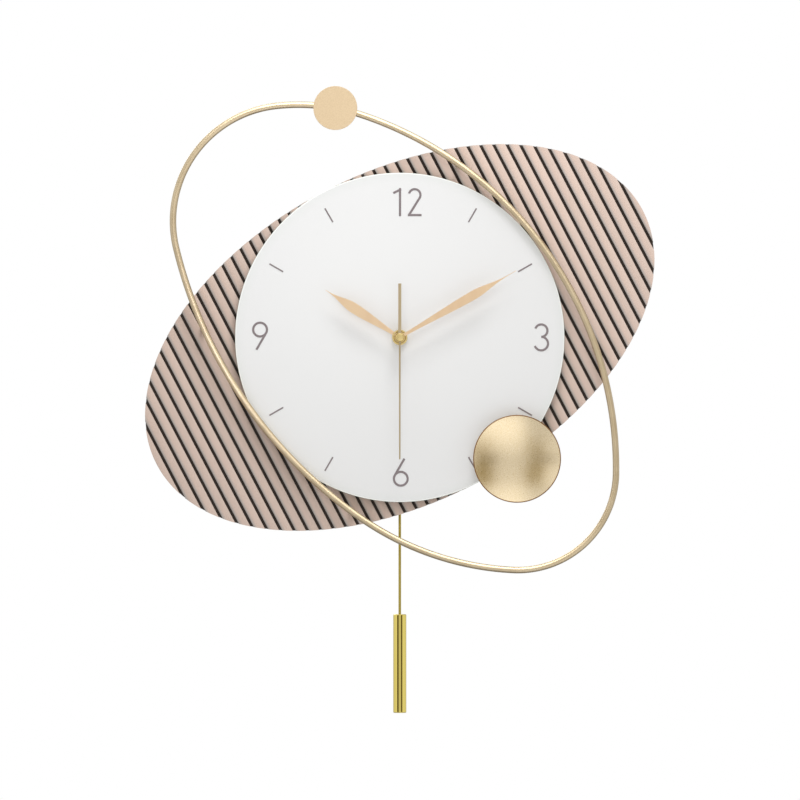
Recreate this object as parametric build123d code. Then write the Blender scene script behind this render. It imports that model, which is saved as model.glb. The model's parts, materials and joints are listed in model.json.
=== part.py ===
from build123d import *
from math import acos, asin, atan2, cos, degrees, hypot, radians, sin
import os

# Pendulum wall clock, in millimetres.
# The clock is drawn lying on its back: X to the right, Y up the dial, Z out from the wall.
# The middle of the dial lies over X = Y = 0 and the wall is at Z = 0.
# The last step stands it up, with Z up, the dial facing -Y and the origin at the hanger's keyhole.

# Fits, each measured on the radius
RUNNING_FIT = 0.06
SEAT_FIT = 0.03
HOLE_CLEARANCE = 0.3

# Turns, in degrees
HALF_TURN = 180.0
FULL_TURN = 360.0

# Slatted oval panel
PANEL_LENGTH = 500.0
PANEL_WIDTH = 300.0
PANEL_TILT = 27.6
BOARD_THICKNESS = 6.0
BOARD_INSET = 0.2
SLAT_WIDTH = 8.3
SLAT_HEIGHT = 4.0
SLAT_CROWN = 0.6
GROOVE_WIDTH = 2.5
SLAT_SHIFT = 0.55

# Glass dial and its print
DIAL_DIAMETER = 300.0
DIAL_THICKNESS = 4.0
DIAL_BEVEL = 0.5
DIAL_GAP = 4.0
SPACER_DIAMETER = 120.0
PRINT_THICKNESS = 0.2
NUMERAL_HEIGHT = 25.6
NUMERAL_STROKE = 2.0
NUMERAL_MARGIN = 14.0
TWELVE_SHIFT = 5.9
SIX_SHIFT = 0.9
NINE_INSET = 1.5
NINE_RISE = 1.6
HOURS = 12
NUMERAL_EVERY = 3
TICK_MARGIN = 12.0
TICK_LENGTH = 14.5
TICK_WIDTH = 1.3
TICK_RING_SHIFT = 0.8
TICK_RING_DROP = 2.0

# Numeral shapes, as shares of the numeral height, with arc ends in degrees
DIGIT_GAP_SHARE = 0.3
ONE_FLAG_SHARE = 0.24
ONE_DROP_SHARE = 0.14
TWO_BOWL_SHARE = 0.205
TWO_BOWL_START = -35.0
TWO_BOWL_END = 165.0
THREE_UPPER_SHARE = 0.22
THREE_MOUTH = 160.0
THREE_WAIST = 90.0
SIX_RING_SHARE = 0.245
SIX_LEAN_SHARE = 0.13

# Wire loop: a closed chain of six tangent arcs, the last two radii close the chain
WIRE_DIAMETER = 6.0
LOOP_START_X = -35.2
LOOP_START_Y = -164.7
LOOP_HEADING = -34.8
LOOP_TURNS = (32.0, 92.0, 72.2, 25.2, 97.0)
LOOP_RADII = (265.0, 89.4, 339.0, 182.5)
LOOP_GAP = 1.0
LOOP_SCAN_STEPS = 360
LOOP_HALVINGS = 40
STUD_DIAMETER = 3.0
SLEEVE_DIAMETER = 5.4
LOOP_WASHER_DIAMETER = 9.0
LOOP_WASHER_THICKNESS = 0.8
LOOP_NUT_ACROSS = 5.5
LOOP_NUT_THICKNESS = 2.4
STUD_TAIL = 1.5

# Small disc on the loop
DISC_DIAMETER = 40.0
DISC_THICKNESS = 1.5
DISC_DIRECTION = 105.7
DISC_BOSS_DIAMETER = 9.0

# Dish in front of the dial's edge, with its post and arm
BOWL_DIAMETER = 80.0
BOWL_DEPTH = 9.0
BOWL_WALL = 1.2
BOWL_OVERHANG = 3.6
BOWL_DIRECTION = -46.0
BOWL_GAP = 1.5
POST_DIAMETER = 8.0
POST_EDGE_GAP = 3.0
POST_BURY = 2.0
ARM_WIDTH = 16.0
ARM_THICKNESS = 2.0
ARM_LENGTH = 52.0
ARM_SCREW_SHARE = 0.4
POST_THREAD_DEPTH = 8.0

# Hanger, wall stand-offs and wood screws
HANGER_RISE = 95.0
HANGER_PLATE_THICKNESS = 1.5
HANGER_HEIGHT = 28.0
HANGER_POCKET = 46.0
HANGER_BLOCK_WIDTH = 18.0
KEYHOLE_DIAMETER = 9.0
KEYHOLE_SLOT = 4.5
KEYHOLE_RUN = 9.0
STANDOFF_X = 110.0
STANDOFF_Y = -60.0
STANDOFF_DIAMETER = 16.0
FOOT_THICKNESS = 3.0
SPIGOT_DIAMETER = 6.0
SPIGOT_LENGTH = 4.0
SCREW_DIAMETER = 3.5
SCREW_BITE = 4.5
SCREW_HEAD_DIAMETER = 7.0
SCREW_HEAD_HEIGHT = 2.2
FLUSH_HEAD_DIAMETER = 6.5
SCREW_SLOT_LENGTH_SHARE = 0.7
SCREW_SLOT_WIDTH_SHARE = 0.25
SCREW_SLOT_DEPTH_SHARE = 0.5

# Movement case
KNOB_WALL_GAP = 1.8
KNOB_DIAMETER = 11.0
KNOB_THICKNESS = 3.0
KNOB_COVER_GAP = 0.2
KNOB_RIBS = 24
CASE_WALL = 1.5
CASE_CORNER = 4.0
CASE_TOP = 26.0
CASE_SCREW_DIAMETER = 2.0
CASE_SCREW_BITE = 6.0
CASE_SCREW_HEAD_DIAMETER = 3.8
CASE_SCREW_HEAD_HEIGHT = 1.4
CASE_BOSS_DIAMETER = 6.0
GASKET_DIAMETER = 30.0
GASKET_THICKNESS = 1.0
BUSH_DIAMETER = 8.0
BUSH_FLANGE_DIAMETER = 12.0
BUSH_FLANGE_THICKNESS = 0.6
BUSH_TAIL = 1.2
DIAL_WASHER_DIAMETER = 14.0
DIAL_WASHER_THICKNESS = 0.8
DIAL_NUT_ACROSS = 12.0
DIAL_NUT_THICKNESS = 3.0

# Going train and motion work
WHEEL_WIDTH = 1.5
LEVEL_GAP = 0.6
BRIDGE_THICKNESS = 1.2
PIVOT_DEPTH = 1.0
ARBOR_DIAMETER = 1.0
TOOTH_ADDENDUM = 0.75
TOOTH_DEDENDUM = 1.25
TOOTH_ROOT_SHARE = 0.27
TOOTH_TIP_SHARE = 0.10
PINION_TEETH = 8
TRAIN_TEETH = 48
SECOND_TEETH = 40
THIRD_TEETH = 60
CENTRE_TEETH = 64
CANNON_TEETH = 12
MOTION_TEETH = 36
MOTION_PINION_TEETH = 10
HOUR_TEETH = 40
MOTION_REACH = 15.0
MOTION_DIRECTION = 0.0
MOTION_ARBOR_DIAMETER = 1.5
THIRD_REACH = 14.0
THIRD_DIRECTION = 180.0
TRAIN_REACH = 11.0
TRAIN_DIRECTION = -90.0
ROTOR_REACH = 10.0
ROTOR_DIRECTION = -10.0
ROTOR_DIAMETER = 6.0
ROTOR_LENGTH = 2.5
HOUR_TUBE_DIAMETER = 5.0
MINUTE_TUBE_DIAMETER = 3.2
SECOND_ARBOR_DIAMETER = 1.2
PILLAR_DIAMETER = 4.0
PILLAR_PEG_DIAMETER = 1.6
BRIDGE_MARGIN = 3.0
PILLAR_SPREAD = 17.0
PILLAR_LEFT = -20.0
PILLAR_RIGHT = 8.0

# Stepping motor
STATOR_THICKNESS = 1.0
STATOR_LIMB = 2.6
STATOR_HEIGHT = 18.0
STATOR_REACH = 14.0
STATOR_AIR_GAP = 0.6
STATOR_CHEEK = 1.9
WINDING_WALL = 1.4

# Battery and contacts
GEAR_ROOM = 26.0
BATTERY_DIAMETER = 14.5
BATTERY_LENGTH = 50.5
BATTERY_NUB_DIAMETER = 5.5
BATTERY_NUB_LENGTH = 1.5
BATTERY_CLEARANCE = 0.5
BATTERY_FRONT_GAP = 2.0
CRADLE_WIDTH = 2.0
CRADLE_SPREAD = 30.0
CONTACT_ROOM = 2.25
CONTACT_WIDTH = 10.0
CONTACT_SHEET = 0.4
CONTACT_HEIGHT = 9.0

# Pendulum and its drive
PIVOT_ROOM = 6.0
PIN_DIAMETER = 2.0
PIN_SEAT_DEPTH = 4.0
PIN_BOSS_DIAMETER = 6.0
PIN_BOSS_HEIGHT = 1.0
SWING_GAP = 0.3
SWING_THICKNESS = 3.0
SWING_WIDTH = 7.0
SWING_HUB_DIAMETER = 10.0
SWING_END_DIAMETER = 8.0
MAGNET_REACH = 18.0
MAGNET_DIAMETER = 10.0
MAGNET_RIM = 2.5
COIL_DIAMETER = 15.0
COIL_BORE = 5.0
COIL_GAP = 1.0
COIL_ROOM = 5.0
NOTCH_WIDTH = 26.0
NOTCH_GAP = 3.0
CIRCUIT_THICKNESS = 1.2
CIRCUIT_WIDTH = 40.0
CIRCUIT_GAP = 2.0
CHIP_DIAMETER = 7.0
CHIP_HEIGHT = 1.0
PEG_DROP = 7.0
PEG_DIAMETER = 3.0
PEG_TAIL = 1.2
EYE_DIAMETER = 8.0
EYE_THICKNESS = 2.0
EYE_GAP = 0.2
ROD_DIAMETER = 2.4
ROD_LENGTH = 163.3
ROD_BITE = 12.0
BOB_DIAMETER = 12.0
BOB_LENGTH = 90.0
BOB_WALL = 0.8
BOB_CAP_LENGTH = 6.0
BOB_BEVEL = 0.4

# Hands, with the time that they show as angles clockwise from twelve
HAND_HEIGHT = 10.0
HAND_THICKNESS = 0.8
HAND_GAP = 2.2
COLLET_LENGTH = 2.0
COLLET_WALL = 1.6
HOUR_LENGTH = 80.0
HOUR_WIDTH = 9.5
HOUR_HUB_DIAMETER = 14.0
HOUR_ANGLE = 302.5
MINUTE_LENGTH = 122.0
MINUTE_WIDTH = 8.3
MINUTE_HUB_DIAMETER = 9.6
MINUTE_ANGLE = 60.2
SECOND_LENGTH = 111.0
SECOND_WIDTH = 1.4
SECOND_TAIL_LENGTH = 49.0
SECOND_TAIL_WIDTH = 2.4
SECOND_HUB_DIAMETER = 7.4
SECOND_ANGLE = 180.0
HUB_CAP_HEIGHT = 1.5
BLADE_ROOT_SHARE = 0.32
BLADE_WIDEST_AT = 0.63
BLADE_NECK_SHARE = 0.28
BLADE_NECK_AT = 0.86
BLADE_TIP_WIDTH = 0.4


def stack(low, thicknesses):
    """Levels, each a (low, high) pair, one above the other with the level gap between them."""
    levels = []
    for thickness in thicknesses:
        levels.append((low, low + thickness))
        low = low + thickness + LEVEL_GAP
    return levels


def polar(reach, direction, about=(0.0, 0.0)):
    """The point at a distance and a direction in degrees from another point."""
    turn = radians(direction)
    return (about[0] + reach * cos(turn), about[1] + reach * sin(turn))


# Heights above the wall, worked out from the back of the movement to the tip of the hands
cover_back = KNOB_WALL_GAP + KNOB_THICKNESS + KNOB_COVER_GAP
case_back = cover_back + CASE_WALL
movement_levels = stack(
    case_back + LEVEL_GAP,
    [ROTOR_LENGTH, WHEEL_WIDTH, WHEEL_WIDTH, BRIDGE_THICKNESS]
    + [WHEEL_WIDTH] * 4
    + [BUSH_FLANGE_THICKNESS],
)
rotor_level, train_level, second_level, bridge_level = movement_levels[:4]
third_level, centre_level, motion_level, hour_level, flange_level = movement_levels[4:]
inner_front = flange_level[1]
case_front = inner_front + CASE_WALL
board_back = case_front + GASKET_THICKNESS
board_front = board_back + BOARD_THICKNESS
slat_front = board_front + SLAT_HEIGHT
dial_back = slat_front + DIAL_GAP
dial_front = dial_back + DIAL_THICKNESS
bush_front = dial_front + DIAL_WASHER_THICKNESS + DIAL_NUT_THICKNESS + BUSH_TAIL
loop_height = dial_front + LOOP_GAP + WIRE_DIAMETER / 2
disc_back = loop_height + WIRE_DIAMETER / 2 + SEAT_FIT
bowl_back = dial_front + BOWL_GAP
hour_hand_back = dial_front + HAND_HEIGHT
minute_hand_back = hour_hand_back + HAND_THICKNESS + HAND_GAP
second_hand_back = minute_hand_back + HAND_THICKNESS + HAND_GAP

# Places in the plane of the dial, worked out down the movement
motion_place = polar(MOTION_REACH, MOTION_DIRECTION)
third_place = polar(THIRD_REACH, THIRD_DIRECTION)
train_place = polar(TRAIN_REACH, TRAIN_DIRECTION)
rotor_place = polar(ROTOR_REACH, ROTOR_DIRECTION, train_place)
bay_top = -GEAR_ROOM
battery_y = bay_top - CASE_WALL - BATTERY_CLEARANCE - BATTERY_DIAMETER / 2
bay_bottom = battery_y - BATTERY_DIAMETER / 2 - BATTERY_CLEARANCE
battery_z = inner_front - BATTERY_FRONT_GAP - BATTERY_DIAMETER / 2
pivot_y = bay_bottom - CASE_WALL - PIVOT_ROOM
magnet_y = pivot_y - MAGNET_REACH
case_bottom = magnet_y - COIL_DIAMETER / 2 - COIL_ROOM - CASE_WALL
case_half = BATTERY_LENGTH / 2 + CONTACT_ROOM + CASE_WALL
peg_y = case_bottom - PEG_DROP
bob_top = peg_y - ROD_LENGTH
swing_back = case_back + PIN_BOSS_HEIGHT + SWING_GAP
swing_level = (swing_back, swing_back + SWING_THICKNESS)
pin_seat = (swing_level[1] + SWING_GAP, swing_level[1] + SWING_GAP + PIN_SEAT_DEPTH)
eye_level = (swing_level[1] + EYE_GAP, swing_level[1] + EYE_GAP + EYE_THICKNESS)
rod_z = (eye_level[0] + eye_level[1]) / 2
circuit_back = inner_front - CIRCUIT_THICKNESS
boss_inset = CASE_WALL + CASE_BOSS_DIAMETER / 2
boss_x = case_half - boss_inset + CASE_WALL / 2
boss_places = [
    (side * boss_x, y)
    for side in (-1, 1)
    for y in (CASE_TOP - boss_inset + CASE_WALL / 2, case_bottom + boss_inset - CASE_WALL / 2)
]
pillar_places = [
    (x, y)
    for x in (PILLAR_LEFT, PILLAR_RIGHT)
    for y in (-PILLAR_SPREAD, PILLAR_SPREAD)
]
standoff_places = [(-STANDOFF_X, STANDOFF_Y), (STANDOFF_X, STANDOFF_Y)]
hanger_screw_x = (HANGER_POCKET + HANGER_BLOCK_WIDTH) / 2
hanger_screw_places = [(-hanger_screw_x, HANGER_RISE), (hanger_screw_x, HANGER_RISE)]


def bar(diameter, level, at=(0.0, 0.0)):
    """A round bar standing along Z between two heights."""
    low, high = level
    base = (Align.CENTER, Align.CENTER, Align.MIN)
    return Pos(at[0], at[1], low) * Cylinder(diameter / 2, high - low, align=base)


def tube(outer, inner, level, at=(0.0, 0.0)):
    """A round tube standing along Z between two heights."""
    return bar(outer, level, at) - bar(inner, level, at)


def bar_along_x(diameter, x_range, y, z):
    """A round bar lying along X."""
    middle = (x_range[0] + x_range[1]) / 2
    return Pos(middle, y, z) * Rot(0, 90, 0) * Cylinder(diameter / 2, x_range[1] - x_range[0])


def bar_along_y(diameter, y_range, x, z):
    """A round bar lying along Y."""
    middle = (y_range[0] + y_range[1]) / 2
    return Pos(x, middle, z) * Rot(90, 0, 0) * Cylinder(diameter / 2, y_range[1] - y_range[0])


def block(x_range, y_range, z_range):
    """A box between two bounds on each axis."""
    ranges = (x_range, y_range, z_range)
    middle = [(low + high) / 2 for low, high in ranges]
    return Pos(*middle) * Box(*[high - low for low, high in ranges])


def slab(outline, level):
    """A flat outline given thickness between two heights."""
    return extrude(Pos(0, 0, level[0]) * outline, level[1] - level[0])


def hexagon(across, hole, level, at=(0.0, 0.0)):
    """A hexagon nut with a round hole."""
    outline = Pos(*at) * RegularPolygon(across / 2, 6, major_radius=False)
    return slab(outline, level) - bar(hole, level, at)


def cross_slot(diameter, head_diameter, head_level, at):
    """The crossed slots that a driver turns a screw by, cut from the wall side of its head."""
    low, high = head_level
    length = head_diameter * SCREW_SLOT_LENGTH_SHARE
    width = diameter * SCREW_SLOT_WIDTH_SHARE
    cross = Rectangle(length, width) + Rectangle(width, length)
    return slab(Pos(*at) * cross, (low, low + (high - low) * SCREW_SLOT_DEPTH_SHARE))


def screw(diameter, bite, head_diameter, head_height, seat, at):
    """A cross-slotted pan screw, driven from the wall side, with its head under the seat height."""
    head_level = (seat - head_height, seat)
    body = bar(head_diameter, head_level, at) + bar(diameter, (seat, seat + bite), at)
    return body - cross_slot(diameter, head_diameter, head_level, at)


def oval(inset):
    """The panel's outline, drawn in from its edge."""
    return Ellipse(PANEL_LENGTH / 2 - inset, PANEL_WIDTH / 2 - inset, rotation=PANEL_TILT)


def panel_radius(direction):
    """The distance from the middle of the panel to its edge in one direction."""
    turn = radians(direction - PANEL_TILT)
    return 1 / hypot(cos(turn) / (PANEL_LENGTH / 2), sin(turn) / (PANEL_WIDTH / 2))


def loop_arcs():
    """Radius and turn of each arc of the loop, with the last two radii solved so that it closes."""
    turns = [*LOOP_TURNS, FULL_TURN - sum(LOOP_TURNS)]
    heading = radians(LOOP_HEADING)
    steps = []
    for turn in turns:
        after = heading + radians(turn)
        steps.append((sin(after) - sin(heading), cos(heading) - cos(after)))
        heading = after
    open_x = -sum(radius * step[0] for radius, step in zip(LOOP_RADII, steps))
    open_y = -sum(radius * step[1] for radius, step in zip(LOOP_RADII, steps))
    fifth, sixth = steps[4], steps[5]
    cross = fifth[0] * sixth[1] - fifth[1] * sixth[0]
    fifth_radius = (open_x * sixth[1] - open_y * sixth[0]) / cross
    sixth_radius = (fifth[0] * open_y - fifth[1] * open_x) / cross
    return list(zip([*LOOP_RADII, fifth_radius, sixth_radius], turns))


def loop_path():
    """The loop's centre line at its height in front of the dial."""
    point = Vector(LOOP_START_X, LOOP_START_Y, loop_height)
    heading = LOOP_HEADING
    edges = []
    for radius, turn in loop_arcs():
        arc = JernArc(point, (cos(radians(heading)), sin(radians(heading))), radius, turn)
        edges.append(arc)
        point = arc @ 1
        heading += turn
    return edges


def loop_tube(diameter):
    """Wire of a given diameter along the loop, a ring piece for each arc."""
    ring = None
    for arc in loop_path():
        start = Plane(origin=arc @ 0, z_dir=arc % 0)
        piece = sweep(start * Circle(diameter / 2), path=arc)
        ring = piece if ring is None else ring + piece
    return ring


def loop_crossings(measure):
    """Points of the loop where a measure of the place changes sign, found by halving."""
    found = []
    for arc in loop_path():
        shares = [step / LOOP_SCAN_STEPS for step in range(LOOP_SCAN_STEPS + 1)]
        values = [measure(arc @ share) for share in shares]
        for index in range(LOOP_SCAN_STEPS):
            if values[index] * values[index + 1] > 0:
                continue
            low, high = shares[index], shares[index + 1]
            for _ in range(LOOP_HALVINGS):
                middle = (low + high) / 2
                if measure(arc @ low) * measure(arc @ middle) > 0:
                    low = middle
                else:
                    high = middle
            spot = arc @ low
            found.append((spot.X, spot.Y))
    return found


def past_middle(spot):
    """How far a place lies outside the line midway between the dial's edge and the panel's edge."""
    edge = panel_radius(degrees(atan2(spot.Y, spot.X)))
    return hypot(spot.X, spot.Y) - (DIAL_DIAMETER / 2 + edge) / 2


def beside_disc_line(spot):
    """How far a place lies beside the line from the dial's middle to the small disc."""
    line = polar(1.0, DISC_DIRECTION)
    return line[0] * spot.Y - line[1] * spot.X


stud_places = loop_crossings(past_middle)
disc_line = polar(1.0, DISC_DIRECTION)
disc_place = max(
    loop_crossings(beside_disc_line),
    key=lambda spot: spot[0] * disc_line[0] + spot[1] * disc_line[1],
)
bowl_place = polar(DIAL_DIAMETER / 2 + BOWL_OVERHANG, BOWL_DIRECTION)
post_edge = max(panel_radius(BOWL_DIRECTION), DIAL_DIAMETER / 2)
post_reach = post_edge + POST_EDGE_GAP + POST_DIAMETER / 2
post_place = polar(post_reach, BOWL_DIRECTION)
arm_root = post_reach - ARM_LENGTH
arm_screw_reaches = (arm_root, arm_root + ARM_LENGTH * ARM_SCREW_SHARE)
arm_screw_places = [polar(reach, BOWL_DIRECTION) for reach in arm_screw_reaches]


def back_board():
    """Black oval board that carries everything, with its through and pilot holes."""
    board = slab(oval(BOARD_INSET), (board_back, board_front))
    level = (board_back, board_front)
    board -= bar(BUSH_DIAMETER + 2 * HOLE_CLEARANCE, level)
    for place in stud_places:
        board -= bar(STUD_DIAMETER + 2 * HOLE_CLEARANCE, level, place)
    spigot_level = (board_back, board_back + SPIGOT_LENGTH + SEAT_FIT)
    for place in standoff_places:
        board -= bar(SPIGOT_DIAMETER + 2 * SEAT_FIT, spigot_level, place)
    pilots = [(place, SCREW_BITE - ARM_THICKNESS) for place in arm_screw_places]
    pilots += [(place, SCREW_BITE) for place in hanger_screw_places]
    for place, bite in pilots:
        depth = bite + SEAT_FIT
        board -= bar(SCREW_DIAMETER + 2 * SEAT_FIT, (board_back, board_back + depth), place)
    return board


def slats():
    """Crowned slats across the panel's length, trimmed to the oval and cut round what passes through."""
    pitch = SLAT_WIDTH + GROOVE_WIDTH
    side_count = int((PANEL_LENGTH / 2 + SLAT_WIDTH / 2) / pitch)
    shoulder = slat_front - SLAT_CROWN
    half = SLAT_WIDTH / 2
    through = (board_back, dial_back)
    trim = slab(oval(0.0), through)
    cuts = [bar(SPACER_DIAMETER + 2 * HOLE_CLEARANCE, through)]
    cuts += [bar(SLEEVE_DIAMETER + 2 * HOLE_CLEARANCE, through, place) for place in stud_places]
    pieces = []
    for number in range(-side_count, side_count + 1):
        middle = number * pitch + SLAT_SHIFT
        crown = ThreePointArc((middle - half, shoulder), (middle, slat_front), (middle + half, shoulder))
        sides = Polyline(
            (middle + half, shoulder),
            (middle + half, board_front),
            (middle - half, board_front),
            (middle - half, shoulder),
        )
        section = make_face(Plane.XZ * Curve([crown, *sides.edges()]))
        strip = Rot(0, 0, PANEL_TILT) * extrude(section, PANEL_WIDTH, both=True)
        trimmed = strip & trim
        for cut in cuts:
            trimmed -= cut
        pieces += trimmed.solids()
    return pieces


def dial_spacer():
    """Round block on the board that lifts the glass clear of the slats."""
    return tube(SPACER_DIAMETER, BUSH_DIAMETER + 2 * HOLE_CLEARANCE, (board_front, dial_back))


def dial_glass():
    """White glass disc with ground edges."""
    disc = bar(DIAL_DIAMETER, (dial_back, dial_front))
    rims = disc.edges().filter_by(GeomType.CIRCLE)
    disc = chamfer(rims, DIAL_BEVEL)
    return disc - bar(BUSH_DIAMETER + 2 * HOLE_CLEARANCE, (dial_back, dial_front))


def stroke_line(start, end):
    """A straight numeral stroke between two points."""
    run = (end[0] - start[0], end[1] - start[1])
    middle = ((start[0] + end[0]) / 2, (start[1] + end[1]) / 2)
    turn = degrees(atan2(run[1], run[0]))
    return Pos(*middle) * Rot(0, 0, turn) * Rectangle(hypot(*run), NUMERAL_STROKE)


def stroke_arc(middle, radius, start, end):
    """A numeral stroke bent along an arc between two directions."""
    outer = radius + NUMERAL_STROKE / 2
    inner = radius - NUMERAL_STROKE / 2
    half = (start + end) / 2
    far = [polar(outer, direction, middle) for direction in (start, half, end)]
    near = [polar(inner, direction, middle) for direction in (end, half, start)]
    edges = [ThreePointArc(*far), Line(far[-1], near[0]), ThreePointArc(*near), Line(near[-1], far[0])]
    return make_face(Curve(edges))


def numeral_one():
    """Strokes of a one: an upright and a short flag."""
    top = (NUMERAL_HEIGHT - NUMERAL_STROKE) / 2
    x = NUMERAL_STROKE
    flag = (x - NUMERAL_HEIGHT * ONE_FLAG_SHARE, top - NUMERAL_HEIGHT * ONE_DROP_SHARE)
    head = (x + NUMERAL_STROKE / 2, top)
    upright = stroke_line((x, NUMERAL_HEIGHT / 2), (x, -NUMERAL_HEIGHT / 2))
    return [stroke_line(flag, head), upright]


def numeral_two():
    """Strokes of a two: a round top, a slanting line and a base."""
    radius = NUMERAL_HEIGHT * TWO_BOWL_SHARE
    base = -(NUMERAL_HEIGHT - NUMERAL_STROKE) / 2
    middle = (0.0, -base - radius)
    half_base = radius + NUMERAL_STROKE / 2
    return [
        stroke_arc(middle, radius, TWO_BOWL_START, TWO_BOWL_END),
        stroke_line(polar(radius, TWO_BOWL_START, middle), (-radius, base)),
        stroke_line((-half_base, base), (half_base, base)),
    ]


def numeral_three():
    """Strokes of a three: a small bowl above a larger one."""
    half = (NUMERAL_HEIGHT - NUMERAL_STROKE) / 2
    upper = NUMERAL_HEIGHT * THREE_UPPER_SHARE
    lower = half - upper
    return [
        stroke_arc((0.0, half - upper), upper, -THREE_WAIST, THREE_MOUTH),
        stroke_arc((0.0, lower - half), lower, -THREE_MOUTH, THREE_WAIST),
    ]


def numeral_six():
    """Strokes of a six: a ring and a straight stem that touches it."""
    ring = NUMERAL_HEIGHT * SIX_RING_SHARE
    top = NUMERAL_HEIGHT / 2
    middle = (0.0, -top + NUMERAL_STROKE / 2 + ring)
    tip = (NUMERAL_HEIGHT * SIX_LEAN_SHARE, top)
    rise = hypot(tip[0] - middle[0], tip[1] - middle[1])
    toward_tip = degrees(atan2(tip[1] - middle[1], tip[0] - middle[0]))
    touch = polar(ring, toward_tip + degrees(acos(ring / rise)), middle)
    band = Circle(ring + NUMERAL_STROKE / 2) - Circle(ring - NUMERAL_STROKE / 2)
    return [stroke_line(tip, touch), Pos(*middle) * band]


def printed(strokes, at, turn=0.0):
    """Numeral strokes given their thickness on the face of the glass."""
    shape = None
    for stroke in strokes:
        line = slab(Pos(*at) * Rot(0, 0, turn) * stroke, (dial_front, dial_front + PRINT_THICKNESS))
        shape = line if shape is None else shape + line
    return shape


def dial_markings():
    """Four plain numerals and eight hour lines, each printed a little off the true circle."""
    side = DIAL_DIAMETER / 2 - NUMERAL_MARGIN
    reach = side - NUMERAL_HEIGHT / 2
    three_reach = reach + NUMERAL_HEIGHT * THREE_UPPER_SHARE
    nine_reach = side - NUMERAL_HEIGHT * SIX_RING_SHARE - NUMERAL_STROKE / 2 - NINE_INSET
    digit_gap = NUMERAL_HEIGHT * DIGIT_GAP_SHARE
    marks = [
        printed(numeral_one(), (TWELVE_SHIFT - digit_gap, reach)),
        printed(numeral_two(), (TWELVE_SHIFT + digit_gap, reach)),
        printed(numeral_three(), (three_reach, 0.0)),
        printed(numeral_six(), (SIX_SHIFT, -reach)),
        printed(numeral_six(), (-nine_reach, NINE_RISE), HALF_TURN),
    ]
    tick_middle = DIAL_DIAMETER / 2 - TICK_MARGIN - TICK_LENGTH / 2
    tick = Pos(tick_middle, 0) * Rectangle(TICK_LENGTH, TICK_WIDTH)
    for hour in range(HOURS):
        if hour % NUMERAL_EVERY:
            line = Pos(TICK_RING_SHIFT, -TICK_RING_DROP) * Rot(0, 0, hour * FULL_TURN / HOURS) * tick
            marks.append(slab(line, (dial_front, dial_front + PRINT_THICKNESS)))
    return [solid for mark in marks for solid in mark.solids()]


def gold_loop():
    """Bent wire loop with four studs welded behind it."""
    loop = loop_tube(WIRE_DIAMETER)
    stud_low = board_back - LOOP_WASHER_THICKNESS - LOOP_NUT_THICKNESS - STUD_TAIL
    for place in stud_places:
        loop += bar(STUD_DIAMETER, (stud_low, loop_height), place)
    return loop


def loop_sleeves():
    """Sleeves on the studs that hold the wire at its height."""
    level = (board_front, loop_height - WIRE_DIAMETER / 2 - SEAT_FIT)
    return [tube(SLEEVE_DIAMETER, STUD_DIAMETER + 2 * HOLE_CLEARANCE, level, at) for at in stud_places]


def loop_washers():
    """Washers under the stud nuts."""
    level = (board_back - LOOP_WASHER_THICKNESS, board_back)
    hole = STUD_DIAMETER + 2 * HOLE_CLEARANCE
    return [tube(LOOP_WASHER_DIAMETER, hole, level, at) for at in stud_places]


def loop_nuts():
    """Hexagon nuts on the studs."""
    high = board_back - LOOP_WASHER_THICKNESS
    level = (high - LOOP_NUT_THICKNESS, high)
    return [hexagon(LOOP_NUT_ACROSS, STUD_DIAMETER + 2 * SEAT_FIT, level, at) for at in stud_places]


def loop_disc():
    """Small flat disc with a grooved boss that sits over the wire."""
    face = bar(DISC_DIAMETER, (disc_back, disc_back + DISC_THICKNESS), disc_place)
    boss = bar(DISC_BOSS_DIAMETER, (loop_height, disc_back), disc_place)
    return face + (boss - loop_tube(WIRE_DIAMETER + 2 * SEAT_FIT))


def bowl_sphere_radius():
    """Radius of the ball that the dish's back is cut from."""
    return ((BOWL_DIAMETER / 2) ** 2 + BOWL_DEPTH**2) / (2 * BOWL_DEPTH)


def bowl():
    """Shallow round dish, hollow side to the front."""
    outer = bowl_sphere_radius()
    inner = outer - BOWL_WALL
    spread = asin(BOWL_DIAMETER / 2 / outer)
    rim_outer = (outer * sin(spread), outer * (1 - cos(spread)))
    rim_inner = (inner * sin(spread), outer - inner * cos(spread))
    outer_middle = (outer * sin(spread / 2), outer * (1 - cos(spread / 2)))
    inner_middle = (inner * sin(spread / 2), outer - inner * cos(spread / 2))
    edges = [
        ThreePointArc((0.0, 0.0), outer_middle, rim_outer),
        Line(rim_outer, rim_inner),
        ThreePointArc(rim_inner, inner_middle, (0.0, BOWL_WALL)),
        Line((0.0, BOWL_WALL), (0.0, 0.0)),
    ]
    section = make_face(Plane.XZ * Curve(edges))
    return Pos(*bowl_place, bowl_back) * revolve(section, Axis.Z)


def bowl_post():
    """Round post behind the dish, its front end shaped to the dish and its back end tapped."""
    post = bar(POST_DIAMETER, (board_back, bowl_back + POST_BURY), post_place)
    radius = bowl_sphere_radius()
    ball = Pos(*bowl_place, bowl_back + radius) * Sphere(radius + SEAT_FIT)
    thread_level = (board_back, board_back + POST_THREAD_DEPTH)
    return post - ball - bar(SCREW_DIAMETER + 2 * SEAT_FIT, thread_level, post_place)


def bowl_arm():
    """Flat steel arm on the back of the board that reaches past its edge to the post."""
    middle = polar(post_reach - ARM_LENGTH / 2, BOWL_DIRECTION)
    outline = Pos(*middle) * SlotCenterToCenter(ARM_LENGTH, ARM_WIDTH, rotation=BOWL_DIRECTION)
    level = (board_back - ARM_THICKNESS, board_back)
    arm = slab(outline, level)
    for place in [*arm_screw_places, post_place]:
        arm -= bar(SCREW_DIAMETER + 2 * HOLE_CLEARANCE, level, place)
    return arm


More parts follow.
